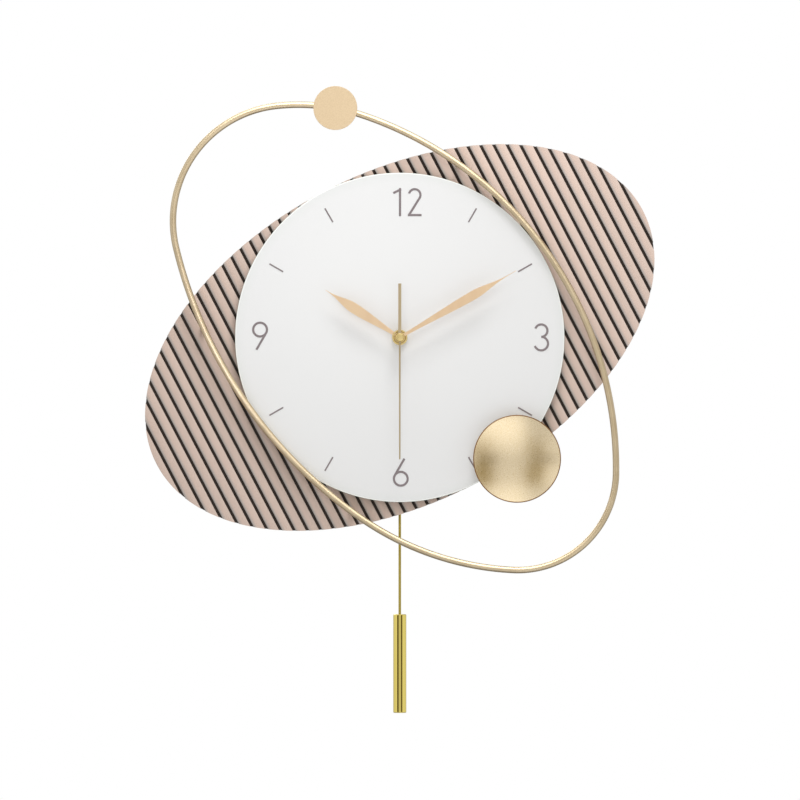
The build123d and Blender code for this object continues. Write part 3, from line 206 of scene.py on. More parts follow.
# %% [markdown]
# ## Putting pieces in place
# Last, a piece is put in place and its place is applied, so that its object sits at the origin as
# a CAD node's does. Faces that meet at less than an angle are shaded as one round form.

# %% Putting pieces in place
FACING_FRONT = (pi / 2, 0.0, 0.0)
CRISP = 30.0


def shade(piece, smooth):
    """Shade round forms smooth, and let large flat faces rule the normals at their edges."""
    bpy.ops.object.shade_smooth_by_angle(angle=radians(smooth))
    even = piece.modifiers.new("even", "WEIGHTED_NORMAL")
    even.keep_sharp = True
    bpy.ops.object.modifier_apply(modifier=even.name)


def settle(piece, place=(0.0, 0.0, 0.0), turn=(0.0, 0.0, 0.0), smooth=40.0):
    """Leave edit mode, put the piece in place, apply the place and shade it smooth."""
    if bpy.context.mode != "OBJECT":
        bpy.ops.object.mode_set(mode="OBJECT")
    choose(piece)
    piece.location = place
    piece.rotation_euler = turn
    apply_place()
    shade(piece, smooth)
    print(piece.name, "faces:", len(piece.data.polygons))
    return piece


def joined(name, pieces):
    """Join finished pieces that are one thing on the real clock."""
    choose(*pieces)
    bpy.ops.object.join()
    pieces[0].name = name
    return pieces[0]


# %% [markdown]
# ## Sawing and drilling
# A saw cut or a drilled hole is a Boolean with a block or a cylinder. Holes could be left out where
# nobody sees them, but the studs and the hands' tubes really pass through the panel.

# %% Sawing and drilling
DRILL_LENGTH, DRILL_SIDES = 30.0, 48


def carve(piece, tool, operation):
    """Apply a Boolean with another piece, which is then removed."""
    choose(piece)
    modifier = piece.modifiers.new("carve", "BOOLEAN")
    modifier.object = tool
    modifier.operation = operation
    modifier.solver = "EXACT"
    bpy.ops.object.modifier_apply(modifier=modifier.name)
    bpy.data.objects.remove(tool)


def drill(piece, spots, radius, out):
    """Drill holes right through a piece, from the front, at places found on the clock."""
    for spot in spots:
        fresh()
        bpy.ops.mesh.primitive_cylinder_add(
            vertices=DRILL_SIDES, radius=radius * MM, depth=DRILL_LENGTH * MM,
            location=(spot.x, -out * MM, spot.z), rotation=FACING_FRONT)
        carve(piece, bpy.context.object, "DIFFERENCE")
    shade(piece, CRISP)


# %% [markdown]
# ## Finishes
# A finish is a Principled shader whose constant values sit on its own sockets. What varies comes
# from noise on the piece's own coordinates. Image textures would be another way, but noise has no
# seams and no files. Stretching or turning the noise makes it follow a grain.

# %% Colour and noise
NOISE_LOW, NOISE_HIGH = 0.3, 0.7
finishes = {}


def colour(red, green, blue):
    """A colour given as screen values from 0 to 255, as the linear values that a shader takes."""
    linear = []
    for value in (red, green, blue):
        share = value / 255
        linear.append(share / 12.92 if share <= 0.04045 else ((share + 0.055) / 1.055) ** 2.4)
    return (*linear, 1.0)


def new_finish(name, **sockets):
    """A material, kept by its name, with constant values set straight on its shader's sockets."""
    material = bpy.data.materials.new(name)
    finishes[name] = material
    material.use_nodes = True
    shader = material.node_tree.nodes["Principled BSDF"]
    for socket, value in sockets.items():
        shader.inputs[socket.replace("_", " ")].default_value = value
    return material


def own_place(material):
    """The place on a piece, in the piece's own coordinates."""
    return material.node_tree.nodes.new("ShaderNodeTexCoord").outputs["Object"]


def noise(material, scale, stretch=(1.0, 1.0, 1.0), turn=0.0, detail=3.0):
    """Noise on the piece's own coordinates, stretched along an axis and turned about Y."""
    tree = material.node_tree
    mapping = tree.nodes.new("ShaderNodeMapping")
    mapping.inputs["Rotation"].default_value = (0.0, turn, 0.0)
    mapping.inputs["Scale"].default_value = stretch
    texture = tree.nodes.new("ShaderNodeTexNoise")
    texture.inputs["Scale"].default_value = scale
    texture.inputs["Detail"].default_value = detail
    tree.links.new(own_place(material), mapping.inputs["Vector"])
    tree.links.new(mapping.outputs["Vector"], texture.inputs["Vector"])
    return texture.outputs["Fac"]


def spread(material, value, low, high):
    """Carry noise, which lies mostly near the middle of 0 to 1, over to a range."""
    node = material.node_tree.nodes.new("ShaderNodeMapRange")
    node.inputs["From Min"].default_value = NOISE_LOW
    node.inputs["From Max"].default_value = NOISE_HIGH
    node.inputs["To Min"].default_value = low
    node.inputs["To Max"].default_value = high
    material.node_tree.links.new(value, node.inputs["Value"])
    return node.outputs["Result"]


# %% [markdown]
# The plain kind of finish has three things: two close colours are mottled together, the gloss is
# uneven, and a fine grain is raised by a Bump node. One function makes them all.

# %% The plain kind of finish
PATCH_DARK, PATCH_LIGHT = 0.35, 0.65
GRAIN_STRENGTH = 0.5


def ramp(owner, value, stops):
    """Colours along a value, each stop a (position, colour) pair."""
    node = owner.node_tree.nodes.new("ShaderNodeValToRGB")
    elements = node.color_ramp.elements
    while len(elements) < len(stops):
        elements.new(0.5)
    for element, (position, tone) in zip(elements, stops):
        element.position = position
        element.color = tone
    owner.node_tree.links.new(value, node.inputs["Fac"])
    return node.outputs["Color"]


def wire_in(material, output, socket):
    shader = material.node_tree.nodes["Principled BSDF"]
    material.node_tree.links.new(output, shader.inputs[socket])


def raised(material, value, height, strength):
    """Raise a value as a fine relief of a height in millimetres."""
    bump = material.node_tree.nodes.new("ShaderNodeBump")
    bump.inputs["Strength"].default_value = strength
    bump.inputs["Distance"].default_value = height * MM
    material.node_tree.links.new(value, bump.inputs["Height"])
    wire_in(material, bump.outputs["Normal"], "Normal")


def mottled(name, dark, light, gloss, scale, grain=0, relief=0, stretch=(1.0, 1.0, 1.0), **sockets):
    """The plain kind of finish: mottled colour, uneven gloss and, where asked, a fine raised grain."""
    material = new_finish(name, **sockets)
    patches = noise(material, scale, stretch)
    tones = ramp(material, patches, [(PATCH_DARK, colour(*dark)), (PATCH_LIGHT, colour(*light))])
    wire_in(material, tones, "Base Color")
    wire_in(material, spread(material, patches, *gloss), "Roughness")
    if relief:
        raised(material, noise(material, grain, stretch), relief, GRAIN_STRENGTH)
    return material


# %% [markdown]
# ## Metals
# The wire, the little disc, the dish, the hands and the bob are all gold, but not the same gold: the
# wire is satin, the disc and the hands are matt champagne, the dish is bead-blasted and the bob is
# polished yellow brass on a drawn brass rod. Brushed and drawn metal has its noise stretched along
# the piece.

# %% Gold and brass
BRUSHED = {"stretch": (1.0, 1.0, 0.3), "Metallic": 1.0}
DRAWN = {"stretch": (1.0, 1.0, 0.15), "Metallic": 1.0}
mottled("satin_gold", (206, 187, 154), (214, 196, 164), gloss=(0.40, 0.45), scale=60, Metallic=1.0)
mottled(
    "pale_gold", (247, 221, 182), (255, 231, 195), gloss=(0.44, 0.54), scale=1000, grain=1000, relief=0.012,
    Metallic=1.0)
mottled("hand_gold", (246, 214, 176), (251, 222, 185), gloss=(0.40, 0.48), scale=80, **BRUSHED)
mottled("polished_brass", (232, 211, 113), (238, 217, 122), gloss=(0.04, 0.07), scale=60, **DRAWN)
eye_brass = mottled(
    "eye_brass", (232, 206, 140), (240, 215, 150), gloss=(0.18, 0.26), scale=200, Metallic=0.8)
# Painted shade: a darker, duller brass for the recess inside the eyes' rims.
eye_recess_painted_shade = mottled(
    "eye_recess_painted_shade", (196, 164, 100), (208, 178, 114), gloss=(0.35, 0.5), scale=300, Metallic=0.3)
drawn_brass = mottled("drawn_brass", (186, 166, 80), (196, 176, 92), gloss=(0.22, 0.32), scale=90, **DRAWN)
tail_gold = mottled("tail_gold", (206, 186, 150), (214, 195, 160), gloss=(0.30, 0.40), scale=80, **BRUSHED)
needle_gold = mottled(
    "needle_gold", (194, 174, 140), (202, 183, 150), gloss=(0.30, 0.40), scale=80, **BRUSHED)
print("gold and brass:", list(finishes))

# %% [markdown]
# Steel and magnets are only seen from behind. The dish is blasted with fine beads: the same noise
# gives its colour, its gloss and its relief, so that each bead's mark is one spot in all three. Its
# cut rim is a darker copper.

# %% Steel, dish and rim
BEAD_SCALE, BEAD_RELIEF, BEAD_STRENGTH = 1300, 0.03, 0.35
mottled(
    "steel", (176, 178, 180), (204, 206, 207), gloss=(0.28, 0.42), scale=180, grain=1500, relief=0.02,
    Metallic=1.0)
mottled(
    "magnet", (78, 78, 82), (104, 104, 108), gloss=(0.45, 0.6), scale=300, grain=2500, relief=0.03,
    Metallic=0.9)
blasted = new_finish("blasted_gold", Metallic=1.0)
beads = noise(blasted, BEAD_SCALE, detail=2.0)
bead_tones = [(NOISE_LOW, colour(228, 206, 163)), (NOISE_HIGH, colour(252, 233, 200))]
wire_in(blasted, ramp(blasted, beads, bead_tones), "Base Color")
wire_in(blasted, spread(blasted, beads, 0.27, 0.34), "Roughness")
raised(blasted, beads, BEAD_RELIEF, BEAD_STRENGTH)
rim_copper = mottled(
    "rim_copper", (138, 100, 62), (160, 119, 78), gloss=(0.36, 0.46), scale=200, Metallic=0.9)
print("metal finishes:", list(finishes))

# %% [markdown]
# ## Slat finish
# The slats are wrapped in a rose-grey film. Each has its own slight tint. A shade is painted across
# each crown: the left shoulder is painted darker and greyer, where it turns from the light, and the
# right side is lighter and warmer. The pattern is turned with the panel, so that one coordinate runs
# across the slats: its whole part says which slat it is, and its fraction says where across the slat.
# A material for each slat would do too, but one is enough this way.

# %% Which slat, and where across it
PANEL_TILT = radians(27.6)
SLAT_PITCH, SLAT_SHIFT = 10.8, 0.55
MIDDLE_SHIFT = 0.5 + (DIAL_DROP * sin(PANEL_TILT) - SLAT_SHIFT) / SLAT_PITCH


def worked(owner, operation, *values):
    """One sum on values in a node tree."""
    node = owner.node_tree.nodes.new("ShaderNodeMath")
    node.operation = operation
    for socket, value in zip(node.inputs, values):
        if isinstance(value, float):
            socket.default_value = value
        else:
            owner.node_tree.links.new(value, socket)
    return node.outputs["Value"]


def vector_node(material, operation, vector, constant=None):
    """One sum on vectors, whose second term is a constant where there is one."""
    node = material.node_tree.nodes.new("ShaderNodeVectorMath")
    node.operation = operation
    material.node_tree.links.new(vector, node.inputs[0])
    if constant:
        node.inputs[1].default_value = constant
    return node


slat = new_finish("slat", Specular_IOR_Level=0.35)
pitch = SLAT_PITCH * MM
across_panel = (cos(PANEL_TILT) / pitch, 0.0, sin(PANEL_TILT) / pitch)
across = vector_node(slat, "DOT_PRODUCT", own_place(slat), across_panel).outputs["Value"]
counted = worked(slat, "ADD", across, MIDDLE_SHIFT)
which = worked(slat, "FLOOR", counted)
where = worked(slat, "FRACT", counted)
print("slats counted from", round(MIDDLE_SHIFT, 3))

# %% [markdown]
# The number of the slat goes into white noise for its tint, and a fine fibre runs along it. Both
# change the brightness of the crown's colours by a few percent.

# %% Slat, board and spacer finishes
TINT_SHARE, FIBRE_SHARE, LEAST_STRENGTH = 0.05, 0.08, 0.735
tint = slat.node_tree.nodes.new("ShaderNodeTexWhiteNoise")
tint.noise_dimensions = "1D"
slat.node_tree.links.new(which, tint.inputs["W"])
# Painted shade across each crown: the left shoulder and side darker and greyer, the right side lighter and
# warmer.
painted_crown_shade = ramp(slat, where, [
    (0.13, colour(150, 145, 141)), (0.19, colour(194, 183, 176)), (0.29, colour(213, 195, 184)),
    (0.42, colour(226, 201, 187)), (0.80, colour(225, 203, 190))])
fibre = noise(slat, 160, stretch=(1.0, 1.0, 0.12), turn=-PANEL_TILT, detail=4.0)
own_tint = worked(slat, "MULTIPLY", tint.outputs["Value"], TINT_SHARE)
uneven = worked(slat, "ADD", own_tint, worked(slat, "MULTIPLY", fibre, FIBRE_SHARE))
shaded = vector_node(slat, "SCALE", painted_crown_shade)
slat.node_tree.links.new(worked(slat, "ADD", uneven, LEAST_STRENGTH), shaded.inputs["Scale"])
wire_in(slat, shaded.outputs["Vector"], "Base Color")
wire_in(slat, spread(slat, fibre, 0.42, 0.55), "Roughness")
film_grain = noise(slat, 700, stretch=(1.0, 1.0, 0.15), turn=-PANEL_TILT)
raised(slat, film_grain, height=0.03, strength=0.4)
mottled("black_board", (60, 49, 41), (72, 61, 53), gloss=(0.62, 0.78), scale=240, grain=1600, relief=0.05)
mottled("spacer", (74, 68, 64), (92, 86, 80), gloss=(0.6, 0.75), scale=240, grain=1400, relief=0.05)
print("panel finishes:", list(finishes)[-3:])

# %% [markdown]
# ## Dial finish
# The dial is clear glass painted white on its back, so it is white with a polished coat. Near the
# edge a painted shade makes it a touch darker and greener, the ground bevel carries a painted
# highlight as a bright line, and the side is faintly green. The distance from the dial's middle tells
# them apart. Real glass over a painted disc would be another way, but it needs many more light paths
# for the same look.

# %% Dial finish
glass = new_finish("white_glass", Roughness=0.06, IOR=1.5, Coat_Weight=0.3, Coat_Roughness=0.04)
flat_place = vector_node(glass, "MULTIPLY", own_place(glass), (1.0, 0.0, 1.0)).outputs["Vector"]
off_middle = vector_node(glass, "DISTANCE", flat_place, (0.0, 0.0, -DIAL_DROP * MM)).outputs["Value"]
edge_share = worked(glass, "MULTIPLY", off_middle, 1 / (DIAL_RADIUS * MM))
# Painted shade: a touch darker and greener near the rim. Painted highlight: a bright line on the ground
# bevel.
white, painted_edge_shade = colour(230, 230, 230), colour(227, 228, 227)
painted_bevel_highlight, side_green = colour(252, 253, 249), colour(214, 226, 220)
wire_in(glass, ramp(glass, edge_share, [
    (0.0, white), (0.94, white), (0.985, painted_edge_shade), (0.9945, painted_edge_shade), (0.996, painted_bevel_highlight),
    (0.9985, painted_bevel_highlight), (0.9998, side_green)]), "Base Color")
raised(glass, noise(glass, 6.0, detail=1.0), height=0.02, strength=0.05)
print("dial finish:", glass.name)

# %% [markdown]
# ## Print, plastics and the rest
# The print is a matt grey ink. Moulded plastic has a fine spark-eroded grain, and rubber is rougher
# still. A coil is a stack of thin wires, too many to model, so a wave draws and raises them.

# %% Other finishes
WIRES_SCALE, WIRES_RELIEF, WIRES_STRENGTH = 900.0, 0.1, 0.6
mottled("print", (132, 122, 124), (142, 131, 133), gloss=(0.5, 0.65), scale=900, grain=3500, relief=0.01)
mottled("black_plastic", (38, 38, 40), (46, 46, 48), gloss=(0.45, 0.6), scale=120, grain=1400, relief=0.05)
mottled("nylon", (226, 222, 208), (236, 232, 220), gloss=(0.4, 0.5), scale=150, grain=1500, relief=0.02)
mottled("rubber", (40, 40, 40), (50, 49, 48), gloss=(0.75, 0.9), scale=300, grain=1800, relief=0.05)
mottled("circuit", (30, 92, 52), (38, 106, 62), gloss=(0.3, 0.45), scale=400, grain=1500, relief=0.02)
mottled(
    "cell", (70, 72, 77), (86, 88, 94), gloss=(0.25, 0.35), scale=120, grain=1500, relief=0.01,
    Metallic=0.6)
copper = new_finish("copper", Metallic=1.0)
wires = copper.node_tree.nodes.new("ShaderNodeTexWave")
wires.inputs["Scale"].default_value = WIRES_SCALE
wires.inputs["Distortion"].default_value = 1.5
copper.node_tree.links.new(own_place(copper), wires.inputs["Vector"])
wire_tones = [(0.0, colour(140, 74, 38)), (1.0, colour(206, 128, 78))]
wire_in(copper, ramp(copper, wires.outputs["Fac"], wire_tones), "Base Color")
wire_in(copper, spread(copper, noise(copper, 500), 0.25, 0.4), "Roughness")
raised(copper, wires.outputs["Fac"], WIRES_RELIEF, WIRES_STRENGTH)
print("finishes:", len(finishes))

# %% [markdown]
# ## Finishes on the CAD nodes
# The record says which material slot each CAD node takes. Nodes whose shape is already right stay,
# and only get their finish. The bush, washer and nut lie behind the hands, and take the duller brass
# of the hands' eyes, not the bob's polish.

# %% Paint the CAD nodes
slot_of = {row["node"]: row["material_slot"] for row in frame["record"]["subparts"]}


def paint(piece, finish):
    piece.data.materials.clear()
    piece.data.materials.append(finish)


def dressed(piece, node, body):
    """A finished piece takes its node's place and finish, and moves with its body."""
    if not piece.data.materials:
        paint(piece, finishes[slot_of[node]])
    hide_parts(node)
    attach(piece, body)
    return piece


for node, slot in slot_of.items():
    paint(frame["nodes"][node], finishes[slot])
for node in ("threaded_bush", "dial_washer", "dial_nut"):
    paint(frame["nodes"][node], eye_brass)
print("painted:", len(slot_of))

# %% [markdown]
# ## Slats
# Each slat is a long strip with a crowned face. One could model each strip to its own length, but a
# maker would glue long strips side by side and saw the oval out afterwards. So one profile is drawn,
# filled and extruded here, and an Array makes the row.

# %% Row of slats
SLAT_HALF, SLAT_HEIGHT, SLAT_CROWN, SLAT_ROUND = 4.15, 4.0, 0.6, 0.35
CROWN_STEPS = 8
SLATS_EACH_SIDE = 23
PANEL_LONG, PANEL_SHORT = 250.0, 150.0
STRIP_HALF_LENGTH = PANEL_SHORT + 5.0
crown_radius = (SLAT_HALF**2 + SLAT_CROWN**2) / (2 * SLAT_CROWN)
profile = [Vector((SLAT_HALF, 0.0, 0.0)), Vector((-SLAT_HALF, 0.0, 0.0))]
for step in range(CROWN_STEPS + 1):
    x = -SLAT_HALF + 2 * SLAT_HALF * step / CROWN_STEPS
    profile.append(Vector((x, 0.0, SLAT_HEIGHT - crown_radius + sqrt(crown_radius**2 - x**2))))
first_slat = Vector((SLAT_SHIFT - SLATS_EACH_SIDE * SLAT_PITCH, -STRIP_HALF_LENGTH, 0.0))
slats = draw_line("slat_strips", [(point + first_slat) * MM for point in profile])
bpy.ops.mesh.select_all(action="SELECT")
bpy.ops.mesh.edge_face_add()
along_strip = (0.0, 2 * STRIP_HALF_LENGTH * MM, 0.0)
bpy.ops.mesh.extrude_region_move(TRANSFORM_OT_translate={"value": along_strip})
close_up()
soften(SLAT_ROUND, segments=2, sharper_than=45.0)
bpy.ops.object.mode_set(mode="OBJECT")
row = slats.modifiers.new("row", "ARRAY")
row.count = 2 * SLATS_EACH_SIDE + 1
row.use_relative_offset = False
row.use_constant_offset = True
row.constant_offset_displace = (SLAT_PITCH * MM, 0.0, 0.0)
bpy.ops.object.modifier_apply(modifier=row.name)
print("strips in the row:", 2 * SLATS_EACH_SIDE + 1)

# %% [markdown]
# Booleans saw the oval out of the row and cut a round hole for the spacer that carries the dial.
# Then the panel is turned to its tilt and drilled for the sleeves of the loop's studs.

# %% Oval of slats
PANEL_TURN = (pi / 2, -PANEL_TILT, 0.0)
OVAL_SIDES, SPACER_SIDES = 256, 128
SAW_LOW, SAW_HIGH = -2.0, 8.0
SPACER_HOLE, SPACER_HOLE_DEPTH = 60.3, 20
SLEEVE_HOLE = 3.0


def oval_block(name, grow, low, high):
    """An upright oval cylinder, in the panel's own axes, grown past the panel's edge."""
    fresh()
    bpy.ops.mesh.primitive_cylinder_add(vertices=OVAL_SIDES, radius=1.0, depth=(high - low) * MM)
    block = bpy.context.object
    block.name = name
    block.location = (0.0, 0.0, (low + high) / 2 * MM)
    block.scale = ((PANEL_LONG + grow) * MM, (PANEL_SHORT + grow) * MM, 1.0)
    apply_place()
    return block


carve(slats, oval_block("saw", 0.0, SAW_LOW, SAW_HIGH), "INTERSECT")
fresh()
bpy.ops.mesh.primitive_cylinder_add(
    vertices=SPACER_SIDES, radius=SPACER_HOLE * MM, depth=SPACER_HOLE_DEPTH * MM)
carve(slats, bpy.context.object, "DIFFERENCE")
settle(slats, at(0, 0, BOARD_FRONT), PANEL_TURN, CRISP)
drill(slats, stud_middles, SLEEVE_HOLE, SLAT_FRONT)
dressed(slats, "slats", "clock")

# %% [markdown]
# ## Board
# Behind the slats is a black board that shows as the grooves. It is the same oval, squeezed from a
# cylinder, a little smaller than the slats and with its edges broken.

# %% Board
BOARD_GROW, BOARD_ROUND = -0.2, 0.6
STUD_HOLE, BUSH_HOLE = 1.8, 4.3
board = oval_block("oval_board", BOARD_GROW, 0.0, BOARD_FRONT - BOARD_BACK)
edit()
soften(BOARD_ROUND)
settle(board, at(0, 0, BOARD_BACK), PANEL_TURN)
drill(board, stud_middles, STUD_HOLE, BOARD_FRONT)
drill(board, [at(0, 0, BOARD_FRONT)], BUSH_HOLE, BOARD_FRONT)
dressed(board, "back_board", "clock")

# %% [markdown]
# ## Dial
# The glass is turned: a rectangle beside the axis is spun, and its edges are bevelled wide enough
# to carry a line of light, as a ground glass edge does. The bright line itself is a painted highlight
# in the dial's finish.

# %% Dial
DIAL_ROUND = 0.7
dial = turned("dial_disc", ring_profile(BUSH_HOLE, DIAL_RADIUS, 0.0, DIAL_FRONT - DIAL_BACK), steps=256)
soften(DIAL_ROUND)
settle(dial, at(0, 0, DIAL_BACK), FACING_FRONT, CRISP)
dressed(dial, "dial_glass", "clock")

# %% [markdown]
# ## Wire loop
# The loop is one bent rod: six arcs, each tangent to the next. The last two radii follow from the
# first four, because the rod has to meet its own start. For each arc, its radius times a fixed step
# gives how far it carries the rod, so two equations in the two last radii close the loop.

# %% Arcs of the loop
LOOP_START = (-35.2, -164.7)
LOOP_HEADING = -34.8
LOOP_TURNS = [32.0, 92.0, 72.2, 25.2, 97.0]
LOOP_TURNS.append(360.0 - sum(LOOP_TURNS))
loop_radii = [265.0, 89.4, 339.0, 182.5]
steps_on = []
heading = radians(LOOP_HEADING)
for turn in LOOP_TURNS:
    after = heading + radians(turn)
    steps_on.append((sin(after) - sin(heading), cos(heading) - cos(after)))
    heading = after
open_x = -sum(radius * step[0] for radius, step in zip(loop_radii, steps_on))
open_y = -sum(radius * step[1] for radius, step in zip(loop_radii, steps_on))
(fifth_x, fifth_y), (sixth_x, sixth_y) = steps_on[4:]
cross = fifth_x * sixth_y - fifth_y * sixth_x
loop_radii.append((open_x * sixth_y - open_y * sixth_x) / cross)
loop_radii.append((fifth_x * open_y - fifth_y * open_x) / cross)
print("radii of the arcs:", [round(radius, 1) for radius in loop_radii])

# %% [markdown]
# A curve with a round bevel would do for the rod, but a maker bends it arc by arc. So a ring of points
# is spun about the middle of the first arc, a step for each degree, which leaves the new end selected,
# and is spun on about the next middle.

# %% Bend the rod
WIRE_RADIUS, WIRE_SIDES = 3.0, 40
WELD_WITHIN = 2e-5
fresh()
bpy.ops.mesh.primitive_circle_add(
    vertices=WIRE_SIDES, radius=WIRE_RADIUS * MM, fill_type="NOTHING", location=at(*LOOP_START, LOOP_OUT),
    rotation=(0.0, radians(90.0 - LOOP_HEADING), 0.0))
wire = bpy.context.object
wire.name = "wire_loop"
apply_place()
edit()
bpy.ops.mesh.select_all(action="SELECT")
x, y = LOOP_START
heading = radians(LOOP_HEADING)
for radius, turn in zip(loop_radii, LOOP_TURNS):
    middle = (x - radius * sin(heading), y + radius * cos(heading))
    bpy.ops.mesh.spin(steps=round(turn), angle=radians(turn), center=at(*middle, LOOP_OUT), axis=(0, 1, 0))
    heading += radians(turn)
    x, y = middle[0] + radius * sin(heading), middle[1] - radius * cos(heading)
close_up(WELD_WITHIN)
settle(wire)
print("loop closes to within", round(hypot(x - LOOP_START[0], y - LOOP_START[1]), 4), "mm")

# %% [markdown]
# Four threaded studs are welded behind the rod and pass through the board. They are plain bars with
# a broken end, joined to the rod because they are one welded piece.

# %% Studs
STUD_RADIUS, STUD_END, STUD_ROUND = 1.5, 23.0, 0.3
loop_parts = [wire]
for spot in stud_middles:
    stud = turned("stud", rod_profile(STUD_RADIUS, 0.0, LOOP_OUT - STUD_END), steps=24)
    soften(STUD_ROUND, segments=2)
    settle(stud, (spot.x, -STUD_END * MM, spot.z), FACING_FRONT)
    loop_parts.append(stud)
wire = joined("wire_loop", loop_parts)
dressed(wire, "gold_loop", "clock")

# %% [markdown]
# ## Small disc
# A thin stamped disc on a boss that sits over the wire. It is turned in one piece, and its edges are
# rounded only a little, as a stamped edge is.

# %% Small disc
DISC_BACK = 52.73
BOSS_RADIUS, DISC_RADIUS, DISC_THICK, DISC_ROUND = 4.5, 20.0, 1.5, 0.25
disc_spot = (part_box("loop_disc")[0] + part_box("loop_disc")[1]) / 2
boss_low = LOOP_OUT - DISC_BACK
disc = turned("disc_plate", [
    (0.0, boss_low), (BOSS_RADIUS, boss_low), (BOSS_RADIUS, 0.0), (DISC_RADIUS, 0.0),
    (DISC_RADIUS, DISC_THICK), (0.0, DISC_THICK)], steps=128)
soften(DISC_ROUND)
settle(disc, (disc_spot.x, -DISC_BACK * MM, disc_spot.z), FACING_FRONT, CRISP)
dressed(disc, "loop_disc", "clock")

# %% [markdown]
# ## Dish
# The dish is part of a ball, pressed from sheet. Its profile is two arcs about one middle, the outer
# and the inner side of the sheet, joined round the rim. A cut and thickened ball would give the same,
# but a profile leaves the rim free to be shaped.

# %% Profile of the dish
DISH_RADIUS, DISH_DEPTH, DISH_WALL = 40.0, 9.0, 1.2
DISH_STEPS, RIM_STEPS, RIM_WIDTH, RIM_BULGE = 28, 6, 0.95, 0.35
ball = (DISH_RADIUS**2 + DISH_DEPTH**2) / (2 * DISH_DEPTH)
inner = ball - DISH_WALL
half_angle = asin(DISH_RADIUS / ball)
rim_angle = asin((DISH_RADIUS - RIM_WIDTH) / inner)


def on_ball(radius, angle):
    return (radius * sin(angle), ball - radius * cos(angle))


profile = [on_ball(ball, half_angle * step / DISH_STEPS) for step in range(DISH_STEPS + 1)]
rim_x, rim_y = on_ball(ball - DISH_WALL / 2, half_angle)
for step in range(1, RIM_STEPS):
    swing = half_angle - pi / 2 + pi * step / RIM_STEPS
    profile.append((rim_x + DISH_WALL / 2 * cos(swing) * RIM_BULGE, rim_y + DISH_WALL / 2 * sin(swing)))
profile.append(on_ball(inner, half_angle))
profile += [on_ball(inner, rim_angle * step / DISH_STEPS) for step in range(DISH_STEPS, -1, -1)]
print("points on the dish's profile:", len(profile))

# %% [markdown]
# The rim's own faces take a darker copper, because blasting stops short of the cut edge. They are
# found by how far they lie from the dish's middle.

# %% Dish
DISH_BACK = 47.2
dish_spot = (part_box("bowl")[0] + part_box("bowl")[1]) / 2
dish = turned("dish", profile, steps=160)
settle(dish, (dish_spot.x, -DISH_BACK * MM, dish_spot.z), FACING_FRONT, smooth=50.0)
paint(dish, finishes["blasted_gold"])
dish.data.materials.append(rim_copper)
for face in dish.data.polygons:
    off = Vector((face.center.x - dish_spot.x, face.center.z - dish_spot.z)).length
    if off > (DISH_RADIUS - RIM_WIDTH) * MM:
        face.material_index = 1
dressed(dish, "bowl", "clock")

# %% [markdown]
# ## Hands
# A hand is stamped from sheet: a lance that swells, pinches in and ends in a needle. A grid is laid
# along the hand, each row is pinched to the blade's width there, and it is extruded to the sheet's
# thickness. A traced outline would do too, but the rows keep the swell smooth.

# %% Hand blades
HAND_THICK = 0.8
BLADE_ROWS, BLADE_COLUMNS = 44, 4
BLADE_TIP, BLADE_ROUND = 0.2, 0.1


def ease(share):
    return share * share * (3.0 - 2.0 * share)


def blade(length, root, belly, belly_at, taper):
    """A lance along +Z from the origin, facing the front, given by its half widths."""
    fresh()
    bpy.ops.mesh.primitive_grid_add(
        x_subdivisions=BLADE_COLUMNS, y_subdivisions=BLADE_ROWS, size=1.0, rotation=FACING_FRONT)
    piece = bpy.context.object
    piece.name = "blade"
    piece.location = (0.0, 0.0, length / 2 * MM)
    piece.scale = (2 * belly * MM, length * MM, 1.0)
    apply_place()
    edit()
    for row in range(BLADE_ROWS + 1):
        along = length * row / BLADE_ROWS
        if along < belly_at:
            half = root + (belly - root) * ease(along / belly_at)
        else:
            to_go = 1.0 - ease((along - belly_at) / (length - belly_at))
            half = BLADE_TIP + (belly - BLADE_TIP) * to_go**taper
        pick(lambda point, z=along * MM: abs(point.z - z) < TOUCHING)
        bpy.ops.transform.resize(value=(half / belly, 1.0, 1.0), center_override=(0.0, 0.0, along * MM))
    bpy.ops.mesh.select_all(action="SELECT")
    bpy.ops.mesh.extrude_region_move(TRANSFORM_OT_translate={"value": (0.0, HAND_THICK * MM, 0.0)})
    close_up()
    soften(BLADE_ROUND, segments=2, sharper_than=60.0)
    return settle(piece)


# %% [markdown]
# A turned brass eye is pressed into each hand's root. It keeps its own yellow brass, and the recess
# inside its raised rim is painted a darker, duller brass as painted shade.

# %% Eyes of the hands
EYE_PROUD, EYE_SUNK, EYE_ROUND = 0.12, 0.3, 0.15
COLLET_LENGTH = 2.0
RECESS_MARGIN = 0.1


def eye(hub, bore, collet, rim):
    """The turned eye of a hand: a raised rim round a recess, and the collet that grips its tube."""
    low, foot = -HAND_THICK, -HAND_THICK - COLLET_LENGTH
    piece = turned("eye", [
        (bore, foot), (collet, foot), (collet, low), (hub, low), (hub, EYE_PROUD), (hub - rim, EYE_PROUD),
        (hub - rim, -EYE_SUNK), (bore, -EYE_SUNK), (bore, foot)], steps=64)
    soften(EYE_ROUND)
    settle(piece)
    paint(piece, eye_brass)
    # The recess faces take the darker brass, a painted shade inside the rim.
    piece.data.materials.append(eye_recess_painted_shade)
    for face in piece.data.polygons:
        off = Vector(face.center[:2]).length
        if off < (hub - rim + RECESS_MARGIN) * MM and face.center.z > low * MM:
            face.material_index = 1
    return settle(piece, turn=FACING_FRONT)


# %% [markdown]
# The eye is joined to its blade, and the hand is lifted and turned to the hour that the photograph
# shows. Each hand rides on its own body, so it turns in the poses.

# %% Hour and minute hands
HAND_OUT = {"hour": 55.7, "minute": 58.7, "second": 61.7}
HAND_ANGLE = {"hour": 302.5, "minute": 60.2, "second": 180.0}


